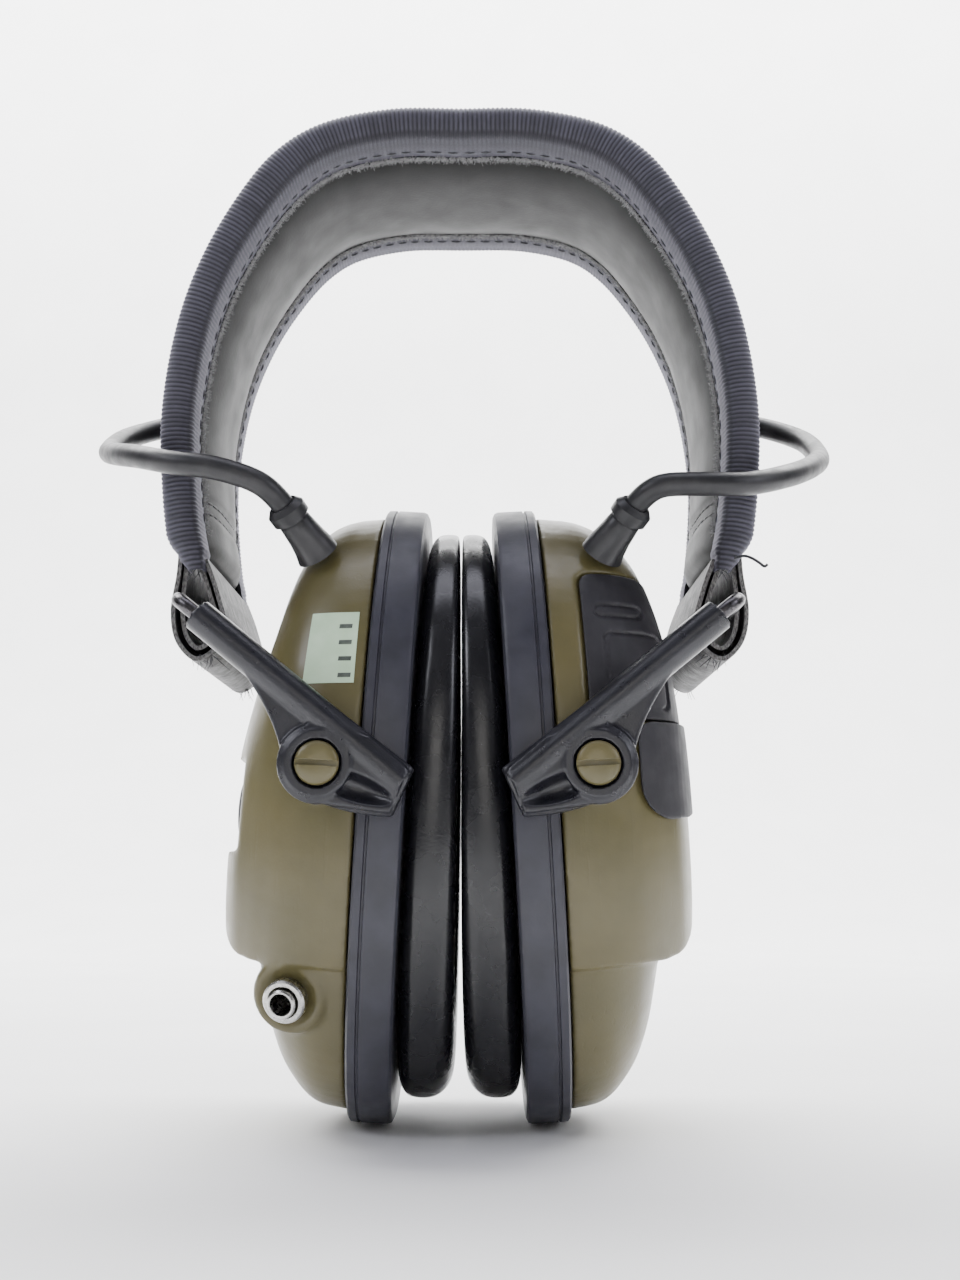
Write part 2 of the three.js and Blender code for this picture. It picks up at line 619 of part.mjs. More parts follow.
for (const [side, sign] of [['right', 1], ['left', -1]]) {
  const isLeft = sign < 0;
  const place = (geometry) => (isLeft ? mirrored(geometry) : geometry);
  const hand = (parent, name, geometry, look) => put(parent, `${name}_${side}`, place(geometry), look);

  hand(earmuffs, 'band_cover', sideStrip(COVER, BAND_END_Z), 'fabric');
  hand(earmuffs, 'band_spring', sideStrip(SPRING, SPRING_END_Z), 'steel');
  hand(earmuffs, 'band_pad', sideStrip(PAD, PAD_END_Z), 'leatherette');
  hand(earmuffs, 'binding_rear', sideStrip(BINDING, BAND_END_Z), 'webbing');
  hand(earmuffs, 'binding_front', sideStrip(BINDING_FRONT, BAND_END_Z), 'webbing');
  hand(earmuffs, 'band_cable', sideStrip(CORD_IN_BAND, CORD_ENTRY_Z), 'rubber');
  hand(earmuffs, 'end_loop', endLoop(), 'leather');
  hand(earmuffs, 'outer_cable', outerCord(side), 'rubber');
  hand(earmuffs, 'wire_bail', wireBail(), 'steel');
  hand(earmuffs, 'arm_rear', rearArm(), 'black_plastic');
  hand(earmuffs, 'arm_front', frontArm(), 'black_plastic');

  const cup = new THREE.Group();
  cup.position.set(sign * CUP_X, 0, CUP_Z);
  cup.rotation.y = -sign * CUP_LEAN;
  earmuffs.add(cup);
  hand(cup, 'cup_shell', shell(isLeft), 'olive_plastic');
  hand(cup, 'base_plate', basePlate(), 'black_plastic');
  hand(cup, 'cushion', cushion(), 'leatherette');
  hand(cup, 'acoustic_foam', ovalPlate([18.8, 34.2], -6.6, -3.4, 28), 'foam');
  hand(cup, 'speaker_grille', speakerGrille(), 'black_plastic');
  hand(cup, 'speaker', speaker(), 'black_plastic');
  hand(cup, 'pivot_screw_rear', pivotScrew(-1), 'olive_plastic');
  hand(cup, 'pivot_screw_front', pivotScrew(1), 'olive_plastic');
  hand(cup, 'microphone', microphone(), 'steel');
  hand(cup, 'mic_cover', micCover(), 'foam');
  hand(cup, 'strain_relief', strainRelief(toCup(RELIEF_BASE), toCup(RELIEF_TIP)), 'rubber');
  if (isLeft) {
    hand(cup, 'circuit_board', boxBetween([8, -16, -20], [9.6, 16, 24]), 'board');
    hand(cup, 'volume_pot', toGeometry(toSolid(alongX(10, 17.6, 0, KNOB.z, 6, 20))), 'steel');
    hand(cup, 'audio_jack', audioJack(), 'steel');
    hand(cup, 'jack_nut', jackNut(), 'steel');
    hand(cup, 'volume_knob', volumeKnob(), 'rubber');
  } else {
    hand(cup, 'battery_tray', batteryTray(), 'black_plastic');
    for (const [level, z] of Object.entries(CELL.zs)) {
      hand(cup, `cell_${level}`, alongY(-CELL.half, CELL.half, CELL.x, z, CELL.r, 18), 'cell');
    }
    hand(cup, 'battery_door', batteryDoor(), 'rubber');
    hand(cup, 'door_latch', doorLatch(), 'rubber');
  }
}

export default earmuffs;
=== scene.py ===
"""Folding electronic earmuffs: the looks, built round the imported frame.

Lengths in this file are millimetres until mesh_object() turns them into metres. +Y is the way the wearer looks,
+X the wearer's right. A piece is designed for the right side and mirrored for the left.
"""
import json
import math
import random

import bmesh
import bpy
import numpy as np
from mathutils import Matrix, Vector, noise


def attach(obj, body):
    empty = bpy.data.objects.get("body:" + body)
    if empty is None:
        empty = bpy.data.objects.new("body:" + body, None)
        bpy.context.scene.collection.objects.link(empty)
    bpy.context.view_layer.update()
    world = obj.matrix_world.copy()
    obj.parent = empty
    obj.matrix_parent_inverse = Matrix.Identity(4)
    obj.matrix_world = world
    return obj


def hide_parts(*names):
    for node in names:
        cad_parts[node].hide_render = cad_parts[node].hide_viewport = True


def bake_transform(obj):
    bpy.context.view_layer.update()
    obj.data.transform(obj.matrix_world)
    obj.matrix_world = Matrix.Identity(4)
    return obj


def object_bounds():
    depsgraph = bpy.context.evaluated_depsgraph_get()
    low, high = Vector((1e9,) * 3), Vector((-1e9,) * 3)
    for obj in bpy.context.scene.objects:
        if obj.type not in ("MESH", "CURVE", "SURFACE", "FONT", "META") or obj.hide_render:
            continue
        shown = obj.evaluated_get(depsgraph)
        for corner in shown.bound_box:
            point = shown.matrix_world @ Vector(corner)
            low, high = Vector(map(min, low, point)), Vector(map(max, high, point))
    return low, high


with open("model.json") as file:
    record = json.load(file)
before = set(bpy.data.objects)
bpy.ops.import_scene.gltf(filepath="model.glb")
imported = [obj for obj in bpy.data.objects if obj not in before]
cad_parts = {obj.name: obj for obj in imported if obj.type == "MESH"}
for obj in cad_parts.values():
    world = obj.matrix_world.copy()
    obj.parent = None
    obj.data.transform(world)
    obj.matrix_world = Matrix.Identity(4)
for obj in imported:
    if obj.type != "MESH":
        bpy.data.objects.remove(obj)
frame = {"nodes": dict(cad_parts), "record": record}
cad_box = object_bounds()
random.seed(7)

MM = 0.001
SIDES = {"right": 1, "left": -1}
scene = bpy.context.scene

# Sizes shared with the frame
BAND_THICK = 7.3
EDGE_THICK = 4.8
PAD_END_Z = -77
BAND_END_Z = -81.2
LINE = [
    (14, 7), (26, 3.9), (33.5, -1.3), (40.6, -10.2), (46.4, -20.5),
    (50.8, -33), (53.3, -50), (52.6, -67), (50.4, -82),
]
WIRE = (46.8, -88.8)
WIRE_R = 1.25
LEG_Y = 40.6
LEG_LENGTH = 43
LEG_ANGLE = math.radians(39.2)
BEND_R = 3.5
PIVOT = (22.6, -116.5)
ARM_INNER = 38.3
ARM_WEB = 3.6
TUBE_R = 2.75
BOSS_R = 5.8
BOSS_FACE = 43.2
CUP = (16.6, -121.6)
CUP_LEAN = math.radians(3.04)
PLATE_HALF = (37, 56.6)
PLATE_THICK = 7.7
EAR_HALF = (19.5, 35)
WALL = 2.2
WALL_UNDER_PANEL = 2.9
GAP = 0.3
CUSHION_GAP = 0.12
GROOVE_X = 20.8
PIVOT_LOCAL = (6.3, 4.8)
CORD_R = 2.1
RELIEF_BASE = (25.6, -24, -77.4)
RELIEF_TIP = (31, -30, -70.3)
UPPER_LEVELS = [
    (0, 55, -54.6, 36.3), (7.3, 53.6, -53.6, 35.4), (12.1, 50.1, -50, 33.9), (15.3, 44.5, -46, 31.9),
    (18.3, 34, -42, 29.3), (21, 23.5, -38, 26.2), (23, 14, -32, 21.5), (24, 6.5, -24, 15.5),
]
HOUSING_TOPS = (55, 53.9, 51.5, 48.5, 44, 36.5, 27, 15)
LOWER_LEVELS = [
    (0, 55, -54.6, 34.9), (6.3, 54, -53.4, 33.8), (11.1, 50, -48.8, 31.8), (14.3, 42, -42.5, 29.3),
    (16.8, 30, -32.8, 25.8),
]
LEDGE = [(-3, -28.3), (17, -27.8), (20.6, -26.6), (22.9, -23.6), (24.4, -17)]
PANEL = {"inner": 6.2, "low": 12.5, "high": 39.2, "proud": 0.15, "back": -0.75, "seat": -1.05}
LATCH = {"inner": 14, "low": -4.5, "high": 11.2, "corner": 6, "proud": 0.8, "back": 0.3}
CORD_ROUTES = {
    "right": [
        (29.6, -28.4, -72.2), (31.4, -30.45, -69.8), (34.6, -32.4, -67.8), (42, -32.9, -67.4), (50, -31.6, -67),
        (58, -26.5, -64.2), (65, -17, -59.6), (69.3, -5, -54), (68.6, 4, -48),
        (63, 11, -43.2), (57.5, 14, -41), (53.4, 14.5, -40.4),
    ],
    "left": [
        (29.6, -28.4, -72.2), (31.4, -30.45, -69.8), (34.6, -32.4, -67.2), (42, -32.8, -64.6), (50, -31.6, -63.2),
        (57.6, -26, -60.4), (64.2, -16.5, -57), (68.3, -5, -52.8), (67.8, 4, -47.6),
        (62.6, 11, -43.2), (57.3, 14, -41), (53.4, 14.5, -40.4),
    ],
}
JACK_AT = Vector((10, -28.6, -33.4))
JACK_WAY = Vector((0.22, -0.93, -0.28)).normalized()
MIC = (12, 28)
KNOB_Z = -1.7

# ---------------------------------------------------------------- camera, lights and floor
camera = bpy.data.objects.new("camera", bpy.data.cameras.new("camera"))
scene.collection.objects.link(camera)
camera.location = Vector((3.6, -267, -134)) * MM
camera.rotation_euler = (math.radians(90 + 9.5), 0, 0)
camera.data.sensor_width = 36
camera.data.lens = 39.26
camera.data.clip_start = 0.01
scene.camera = camera


def area_light(name, place, size, energy, color=(1, 1, 1), aim=(0, 0, -90)):
    light = bpy.data.lights.new(name, "AREA")
    light.shape = "RECTANGLE"
    light.size, light.size_y = (side * MM for side in size)
    light.energy = energy
    light.color = color
    obj = bpy.data.objects.new(name, light)
    scene.collection.objects.link(obj)
    obj.location = Vector(place) * MM
    obj.rotation_euler = ((Vector(aim) - Vector(place)) * MM).to_track_quat("-Z", "Y").to_euler()
    return obj


# ---------------------------------------------------------------- curves
def catmull_rom(points, per_segment=24):
    """Points along a centripetal Catmull-Rom curve, which passes through every given point."""
    p = [Vector(q) for q in points]
    p = [2 * p[0] - p[1], *p, 2 * p[-1] - p[-2]]
    out = []
    for a, b, c, d in zip(p, p[1:], p[2:], p[3:]):
        t0, t1, t2 = (math.sqrt(max((v - u).length, 1e-6)) for u, v in ((a, b), (b, c), (c, d)))
        m0 = ((b - a) / t0 - (c - a) / (t0 + t1) + (c - b) / t1) * t1
        m1 = ((c - b) / t1 - (d - b) / (t1 + t2) + (d - c) / t2) * t1
        for i in range(per_segment):
            t = i / per_segment
            h = (2 * t**3 - 3 * t**2 + 1, t**3 - 2 * t**2 + t, -2 * t**3 + 3 * t**2, t**3 - t**2)
            out.append(b * h[0] + m0 * h[1] + c * h[2] + m1 * h[3])
    return [*out, p[-2]]


class Route:
    """A line that can be asked for its point and direction at a distance from its start."""

    def __init__(self, points):
        self.points = points
        self.marks = [0.0]
        for a, b in zip(points, points[1:]):
            self.marks.append(self.marks[-1] + (b - a).length)
        self.length = self.marks[-1]

    def at(self, distance):
        d = min(max(distance, 0.0), self.length)
        i = min(int(np.searchsorted(self.marks, d, side="right")) - 1, len(self.points) - 2)
        share = (d - self.marks[i]) / (self.marks[i + 1] - self.marks[i])
        return self.points[i].lerp(self.points[i + 1], share)

    def way(self, distance):
        return (self.at(distance + 0.4) - self.at(distance - 0.4)).normalized()


def oval(half_wide, half_high, count, power=2.4, middle_high=0.0):
    points = []
    for i in range(count):
        a = 2 * math.pi * i / count
        c, s = math.cos(a), math.sin(a)
        points.append((
            math.copysign(abs(c) ** (2 / power), c) * half_wide,
            middle_high + math.copysign(abs(s) ** (2 / power), s) * half_high,
        ))
    return points


# ---------------------------------------------------------------- meshes
def loft(rings, closed=False):
    """Vertices and faces of a skin through rings of equal count, capped at its ends unless closed on itself."""
    count = len(rings[0])
    verts = [tuple(p) for ring in rings for p in ring]
    faces = []
    for r in range(len(rings) if closed else len(rings) - 1):
        for i in range(count):
            a, b = r * count + i, r * count + (i + 1) % count
            step = ((r + 1) % len(rings) - r) * count
            faces.append((a, b, b + step, a + step))
    if not closed:
        faces.append(tuple(range(count)))
        faces.append(tuple(len(verts) - count + i for i in range(count)))
    return verts, faces


def mesh_object(name, verts, faces, sharp=40, matrix=None, mirror=False):
    mesh = bpy.data.meshes.new(name)
    flip = -1 if mirror else 1
    mesh.from_pydata([(flip * x * MM, y * MM, z * MM) for x, y, z in verts], [], faces)
    bm = bmesh.new()
    bm.from_mesh(mesh)
    bmesh.ops.recalc_face_normals(bm, faces=bm.faces)
    bm.to_mesh(mesh)
    bm.free()
    obj = bpy.data.objects.new(name, mesh)
    scene.collection.objects.link(obj)
    if matrix is not None:
        obj.matrix_world = matrix
    smooth(obj, sharp)
    return obj


def smooth(obj, sharp=40):
    obj.data.shade_smooth()
    obj.data.set_sharp_from_angle(angle=math.radians(sharp))


def apply_modifiers(obj):
    bpy.context.view_layer.update()
    made = bpy.data.meshes.new_from_object(obj.evaluated_get(bpy.context.evaluated_depsgraph_get()))
    old = obj.data
    obj.modifiers.clear()
    obj.data = made
    bpy.data.meshes.remove(old)
    return obj


def boolean(obj, other, operation):
    """obj joined with, cut by or kept inside other, which is used up."""
    modifier = obj.modifiers.new("boolean", "BOOLEAN")
    modifier.operation = operation
    modifier.solver = "MANIFOLD"
    modifier.object = other
    apply_modifiers(obj)
    bpy.data.objects.remove(other)
    return obj


def soften(obj, voxel, passes=4, factor=0.5):
    """Rounds every edge a little, as a moulding's are: an even remesh, then smoothing."""
    remesh = obj.modifiers.new("remesh", "REMESH")
    remesh.mode = "VOXEL"
    remesh.voxel_size = voxel * MM
    rounding = obj.modifiers.new("rounding", "SMOOTH")
    rounding.factor = factor
    rounding.iterations = passes
    apply_modifiers(obj)
    smooth(obj, 180)
    return obj


def prism(name, outline, low, high, axis, mirror=False, matrix=None):
    """An outline pushed from low to high along an axis. The outline holds the other two coordinates in order."""
    def place(p, d):
        q = list(p)
        q.insert("xyz".index(axis), d)
        return q
    rings = [[place(p, d) for p in outline] for d in (low, high)]
    return mesh_object(name, *loft(rings), mirror=mirror, matrix=matrix)


def lathe(name, profile, start, way, sides=48, knurl=None, mirror=False, matrix=None):
    """A turned piece. The profile holds (distance along way, radius); knurl gives a radius change by angle."""
    way = Vector(way).normalized()
    across = way.orthogonal().normalized()
    up = way.cross(across)
    rings = []
    for distance, radius in profile:
        ring = []
        for i in range(sides):
            a = 2 * math.pi * i / sides
            r = radius + (knurl(distance, a) if knurl and radius > 0.5 else 0)
            ring.append(Vector(start) + way * distance + (across * math.cos(a) + up * math.sin(a)) * r)
        rings.append(ring)
    return mesh_object(name, *loft(rings), mirror=mirror, matrix=matrix)


def tube(name, points, radius, sides=16, mirror=False, matrix=None):
    """A round tube along points, with flat capped ends. The radius may change along it."""
    way = (points[1] - points[0]).normalized()
    across = way.orthogonal().normalized()
    rings = []
    for i, p in enumerate(points):
        ahead = points[min(i + 1, len(points) - 1)] - points[max(i - 1, 0)]
        way = ahead.normalized()
        across = (across - way * across.dot(way)).normalized()
        up = way.cross(across)
        r = radius(i / (len(points) - 1)) if callable(radius) else radius
        rings.append([
            p + (across * math.cos(2 * math.pi * k / sides) + up * math.sin(2 * math.pi * k / sides)) * r
            for k in range(sides)
        ])
    return mesh_object(name, *loft(rings), sharp=70, mirror=mirror, matrix=matrix)


def joined(name, pieces):
    """One object of several."""
    bm = bmesh.new()
    for piece in pieces:
        piece.data.transform(piece.matrix_world)
        bm.from_mesh(piece.data)
        bpy.data.objects.remove(piece)
    mesh = bpy.data.meshes.new(name)
    bm.to_mesh(mesh)
    bm.free()
    obj = bpy.data.objects.new(name, mesh)
    scene.collection.objects.link(obj)
    smooth(obj)
    return obj


def cup_matrix(sign):
    """The cup's own frame: x outwards from the base plate, z up along it."""
    turn = Matrix.Rotation(-sign * CUP_LEAN, 4, "Y")
    return Matrix.Translation(Vector((sign * CUP[0], 0, CUP[1])) * MM) @ turn


# ---------------------------------------------------------------- materials
class Look:
    """A node material built step by step. Coordinates are the object's own, in metres, or its UV map."""

    def __init__(self, name, color, roughness, metallic=0.0, **sockets):
        self.material = bpy.data.materials.new(name)
        self.material.use_nodes = True
        self.tree = self.material.node_tree
        self.shader = self.tree.nodes["Principled BSDF"]
        self.shader.inputs["Base Color"].default_value = (*color, 1)
        self.shader.inputs["Roughness"].default_value = roughness
        self.shader.inputs["Metallic"].default_value = metallic
        for key, value in sockets.items():
            self.shader.inputs[key.replace("_", " ")].default_value = value
        self.coords = self.tree.nodes.new("ShaderNodeTexCoord")
        self.height = None

    def node(self, kind, **values):
        made = self.tree.nodes.new(kind)
        for key, value in values.items():
            if key in made.inputs:
                made.inputs[key].default_value = value
            else:
                setattr(made, key, value)
        return made

    def link(self, output, target):
        self.tree.links.new(output, target)

    def stretched(self, scale, use_uv=False):
        mapping = self.node("ShaderNodeMapping")
        mapping.inputs["Scale"].default_value = scale
        self.link(self.coords.outputs["UV" if use_uv else "Object"], mapping.inputs["Vector"])
        return mapping.outputs["Vector"]

    def noise(self, size_mm, detail=4, stretch=(1, 1, 1), use_uv=False):
        texture = self.node("ShaderNodeTexNoise", Scale=1 / (size_mm * MM), Detail=detail)
        self.link(self.stretched(stretch, use_uv), texture.inputs["Vector"])
        return texture.outputs["Fac"]

    def cells(self, size_mm, feature="F1", stretch=(1, 1, 1)):
        texture = self.node("ShaderNodeTexVoronoi", Scale=1 / (size_mm * MM))
        texture.feature = feature
        self.link(self.stretched(stretch), texture.inputs["Vector"])
        return texture.outputs["Distance"]

    def waves(self, pitch_mm, direction, distortion=0.0, use_uv=True):
        texture = self.node("ShaderNodeTexWave", Scale=0.314159 / (pitch_mm * MM) / 1.0, Distortion=distortion)
        texture.bands_direction = direction
        self.link(self.stretched((1, 1, 1), use_uv), texture.inputs["Vector"])
        return texture.outputs["Fac"]

    def curve(self, value, low, high, to_low=0.0, to_high=1.0):
        ramp = self.node("ShaderNodeMapRange")
        ramp.inputs["From Min"].default_value = low
        ramp.inputs["From Max"].default_value = high
        ramp.inputs["To Min"].default_value = to_low
        ramp.inputs["To Max"].default_value = to_high
        self.link(value, ramp.inputs["Value"])
        return ramp.outputs["Result"]

    def times(self, a, b):
        product = self.node("ShaderNodeMath", operation="MULTIPLY")
        self.link(a, product.inputs[0])
        self.link(b, product.inputs[1])
        return product.outputs[0]

    def tint(self, value, color_low, color_high):
        """Base colour between two colours, by a value from 0 to 1."""
        mix = self.node("ShaderNodeMix", data_type="RGBA")
        mix.inputs["A"].default_value = (*color_low, 1)
        mix.inputs["B"].default_value = (*color_high, 1)
        inputs = [s for s in mix.inputs if s.type == "RGBA"]
        inputs[0].default_value = (*color_low, 1)
        inputs[1].default_value = (*color_high, 1)
        self.link(value, mix.inputs["Factor"])
        self.link(mix.outputs[2], self.shader.inputs["Base Color"])
        return self

    def rough(self, value, low, high):
        self.link(self.curve(value, 0.3, 0.7, low, high), self.shader.inputs["Roughness"])
        return self

    def bump(self, value, depth_mm, strength=1.0):
        """One more layer of relief, over those added before."""
        bump = self.node("ShaderNodeBump", Strength=strength, Distance=depth_mm * MM)
        self.link(value, bump.inputs["Height"])
        if self.height is not None:
            self.link(self.height, bump.inputs["Normal"])
        self.height = bump.outputs["Normal"]
        self.link(self.height, self.shader.inputs["Normal"])
        return self


def olive_plastic():
    look = Look("olive plastic", (0.12, 0.10, 0.04), 0.34, Specular_IOR_Level=0.55)
    patches = look.curve(look.noise(14, 5), 0.35, 0.65)
    look.tint(patches, (0.104, 0.091, 0.037), (0.128, 0.109, 0.047))
    look.rough(look.noise(3, 6), 0.28, 0.38)
    scratches = look.curve(look.noise(0.9, 2, (1, 1, 0.06)), 0.62, 0.70)
    return look.bump(look.noise(0.45, 3), 0.03, 0.5).bump(scratches, -0.02, 0.5).material


def black_plastic(name, grain_mm, grain_depth, low=0.30, high=0.42, color=(0.013, 0.013, 0.017), wear=0.5):
    look = Look(name, color, low, Specular_IOR_Level=0.6)
    look.tint(look.curve(look.noise(6, 4), 0.35, 0.65), color, tuple(1.4 * c for c in color))
    look.rough(look.noise(2.5, 5), low, high)
    scuffs = look.curve(look.noise(1.2, 2, (0.12, 1, 0.12)), 0.63, 0.72)
    return look.bump(look.noise(grain_mm, 2), grain_depth, 0.9).bump(scuffs, -0.02, wear).material


def soft_rubber():
    look = Look("soft rubber", (0.022, 0.021, 0.024), 0.62, Specular_IOR_Level=0.4)
    look.tint(look.curve(look.noise(4, 6), 0.35, 0.7), (0.016, 0.016, 0.019), (0.034, 0.031, 0.033))
    look.rough(look.noise(1.5, 5), 0.52, 0.72)
    return look.bump(look.noise(0.35, 4), 0.04, 0.6).material


def panel_rubber():
    look = Look("panel rubber", (0.022, 0.021, 0.026), 0.5, Specular_IOR_Level=0.4)
    look.tint(look.curve(look.noise(7, 5), 0.35, 0.7), (0.017, 0.016, 0.020), (0.030, 0.028, 0.033))
    look.rough(look.noise(3, 5), 0.46, 0.60)
    return look.bump(look.noise(0.4, 3), 0.02, 0.6).material


def cable_rubber():
    look = Look("cable rubber", (0.014, 0.014, 0.016), 0.40, Specular_IOR_Level=0.5)
    look.tint(look.curve(look.noise(5, 5), 0.4, 0.7), (0.011, 0.011, 0.013), (0.026, 0.025, 0.027))
    look.rough(look.noise(2, 5), 0.34, 0.52)
    return look.bump(look.noise(0.6, 4), 0.05, 0.5).material


def cushion_skin():
    look = Look("cushion skin", (0.006, 0.006, 0.008), 0.26, Specular_IOR_Level=0.6)
    look.tint(look.curve(look.noise(14, 3), 0.35, 0.7), (0.005, 0.005, 0.007), (0.010, 0.010, 0.012))
    look.rough(look.noise(5, 4), 0.22, 0.32)
    return look.bump(look.noise(12, 2), 0.4, 0.25).bump(look.noise(0.5, 3), 0.03, 0.7).material


def lining():
    look = Look("band lining", (0.009, 0.009, 0.009), 0.5, Specular_IOR_Level=0.2)
    look.tint(look.curve(look.noise(18, 3), 0.3, 0.75), (0.007, 0.007, 0.007), (0.012, 0.012, 0.012))
    look.rough(look.noise(6, 4), 0.46, 0.56)
    return look.bump(look.noise(10, 3), 0.3, 0.25).bump(look.noise(0.45, 3), 0.03, 0.8).material


def webbing():
    look = Look("ribbed webbing with painted highlights", (0.02, 0.02, 0.026), 0.72, Sheen_Weight=0.3, Sheen_Roughness=0.5)
    look.shader.inputs["Sheen Tint"].default_value = (0.80, 0.78, 1, 1)
    # Base colour is painted light from the "rib" attribute: a painted highlight on each rib's top, painted shade
    # between ribs and on the flap.
    rib = look.node("ShaderNodeAttribute", attribute_name="rib")
    threads = look.noise(0.2, 3, (1, 0.3, 1), use_uv=True)
    look.tint(rib.outputs["Fac"], (0.004, 0.004, 0.006), (0.062, 0.059, 0.082))
    return look.bump(threads, 0.08, 0.7).material


def woven_cover():
    look = Look("woven cover", (0.02, 0.02, 0.022), 0.85, Sheen_Weight=0.25, Sheen_Roughness=0.5)
    over = look.waves(0.55, "X", 0.6)
    under = look.waves(0.55, "Y", 0.6)
    weave = look.times(over, under)
    look.tint(look.curve(weave, 0.1, 0.8), (0.008, 0.008, 0.009), (0.034, 0.034, 0.037))
    return look.bump(weave, 0.12, 0.9).bump(look.noise(6, 4), 0.3, 0.3).material


def strap_leather():
    look = Look("strap leather", (0.02, 0.019, 0.02), 0.55, Specular_IOR_Level=0.4)
    look.tint(look.curve(look.noise(3, 6), 0.35, 0.7), (0.013, 0.012, 0.013), (0.032, 0.030, 0.031))
    look.rough(look.noise(2, 5), 0.45, 0.65)
    return look.bump(look.cells(0.6), 0.08, 0.7).bump(look.noise(2.5, 5), 0.2, 0.4).material


def raw_edge():
    look = Look("raw strap edge", (0.10, 0.097, 0.095), 0.9)
    fibres = look.noise(0.25, 5, (1, 1, 0.4))
    look.tint(look.curve(fibres, 0.35, 0.65), (0.045, 0.043, 0.042), (0.19, 0.185, 0.18))
    return look.bump(fibres, 0.15, 1.0).material


def metal(name, color, low, high, streak=(1, 1, 1)):
    look = Look(name, color, low, 1.0)
    streaks = look.noise(0.5, 5, streak)
    look.tint(look.curve(streaks, 0.35, 0.65), tuple(0.72 * c for c in color), color)
    look.rough(look.noise(1.2, 4, streak), low, high)
    return look.bump(streaks, 0.02, 0.5).material


def thread(name, dark, pale):
    look = Look(name, dark, 0.85, Sheen_Weight=0.4)
    look.tint(look.curve(look.noise(0.3, 4), 0.3, 0.7), dark, pale)
    return look.bump(look.noise(0.15, 3), 0.08, 0.8).material


def open_foam():
    look = Look("open foam", (0.03, 0.03, 0.033), 0.95)
    pores = look.cells(0.9)
    look.tint(look.curve(pores, 0.1, 0.6), (0.010, 0.010, 0.011), (0.055, 0.055, 0.06))
    return look.bump(pores, 0.5, 1.0).material


def label_film():
    look = Look("label film", (0.5, 0.7, 0.48), 0.42, Specular_IOR_Level=0.5)
    look.tint(look.curve(look.noise(5, 5), 0.35, 0.65), (0.50, 0.68, 0.46), (0.60, 0.77, 0.56))
    return look.bump(look.noise(2, 3), 0.04, 0.4).material


def printed_bar():
    look = Look("label print", (0.05, 0.06, 0.05), 0.5)
    look.tint(look.curve(look.noise(1.5, 5), 0.3, 0.7), (0.05, 0.06, 0.05), (0.10, 0.12, 0.10))
    return look.bump(look.noise(1, 3), 0.02, 0.3).material


def laminate():
    look = Look("circuit laminate", (0.015, 0.1, 0.035), 0.35)
    look.tint(look.curve(look.cells(2.2), 0.2, 0.5), (0.01, 0.07, 0.022), (0.02, 0.13, 0.05))
    return look.bump(look.noise(0.5, 3), 0.03, 0.5).material


MATERIALS = {
    "olive": olive_plastic(),
    "arm": black_plastic("grained arm plastic", 0.30, 0.045, 0.26, 0.36, (0.010, 0.010, 0.014), 0.25),
    "plate": black_plastic("plate plastic", 0.5, 0.015, 0.36, 0.50, (0.024, 0.024, 0.034), 0.4),
    "rubber": soft_rubber(),
    "panel": panel_rubber(),
    "cable": cable_rubber(),
    "skin": cushion_skin(),
    "lining": lining(),
    "webbing": webbing(),
    "cover": woven_cover(),
    "leather": strap_leather(),
    "edge": raw_edge(),
    "wire": metal("drawn wire", (0.105, 0.10, 0.105), 0.24, 0.40, (1, 0.15, 1)),
    "plated": metal("plated metal", (0.66, 0.65, 0.62), 0.16, 0.34),
    "spring": metal("spring steel", (0.30, 0.31, 0.34), 0.3, 0.5, (0.2, 1, 0.2)),
    "cell": metal("cell can", (0.42, 0.33, 0.10), 0.25, 0.4),
    "stitch": thread("stitching", (0.012, 0.012, 0.015), (0.035, 0.035, 0.042)),
    "fuzz": thread("pale fuzz", (0.16, 0.16, 0.16), (0.42, 0.42, 0.42)),
    "foam": open_foam(),
    "label": label_film(),
    "print": printed_bar(),
    "board": laminate(),
}
SLOTS = {
    "headband_fabric": "cover", "webbing": "webbing", "leatherette": "skin", "strap_leather": "leather",
    "spring_steel": "spring", "bail_wire": "wire", "plated_steel": "plated", "olive_plastic": "olive",
    "black_plastic": "plate", "soft_rubber": "rubber", "cable_rubber": "cable", "open_foam": "foam",
    "circuit_laminate": "board", "cell_can": "cell",
}


def paint(obj, *keys):
    obj.data.materials.clear()
    for key in keys:
        obj.data.materials.append(MATERIALS[key])
    return obj


for entry in frame["record"]["subparts"]:
    paint(frame["nodes"][entry["node"]], SLOTS[entry["material_slot"]])


def finish_piece(obj, look, slot, body, *replaced):
    """The last step for a piece: its material, its place in the motion, and the CAD nodes it stands for."""
    paint(obj, *([look] if isinstance(look, str) else look))
    if body:
        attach(obj, body)
    if replaced:
        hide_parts(*replaced)
    return obj


# ---------------------------------------------------------------- headband
line = [Vector((-x, 0, z)) for x, z in reversed(LINE)] + [Vector((0, 0, BAND_THICK))]
line += [Vector((x, 0, z)) for x, z in LINE]
band_route = Route(catmull_rom(line))


def distance_at(z):
    """How far from the crown, along the band's outer line, it passes a height."""
    low, high = 0.0, band_route.length / 2
    for _ in range(40):
        middle = (low + high) / 2
        low, high = (middle, high) if band_route.at(band_route.length / 2 + middle).z > z else (low, middle)
    return low


PAD_END = distance_at(PAD_END_Z)
BAND_END = distance_at(BAND_END_Z)


def band_point(s, depth, y):
    """A point of the right half: distance from the crown, depth under the outer face, place across the band."""
    at = band_route.length / 2 + s
    p, t = band_route.at(at), band_route.way(at)
    return Vector((p.x + t.z * depth, y, p.z - t.x * depth))


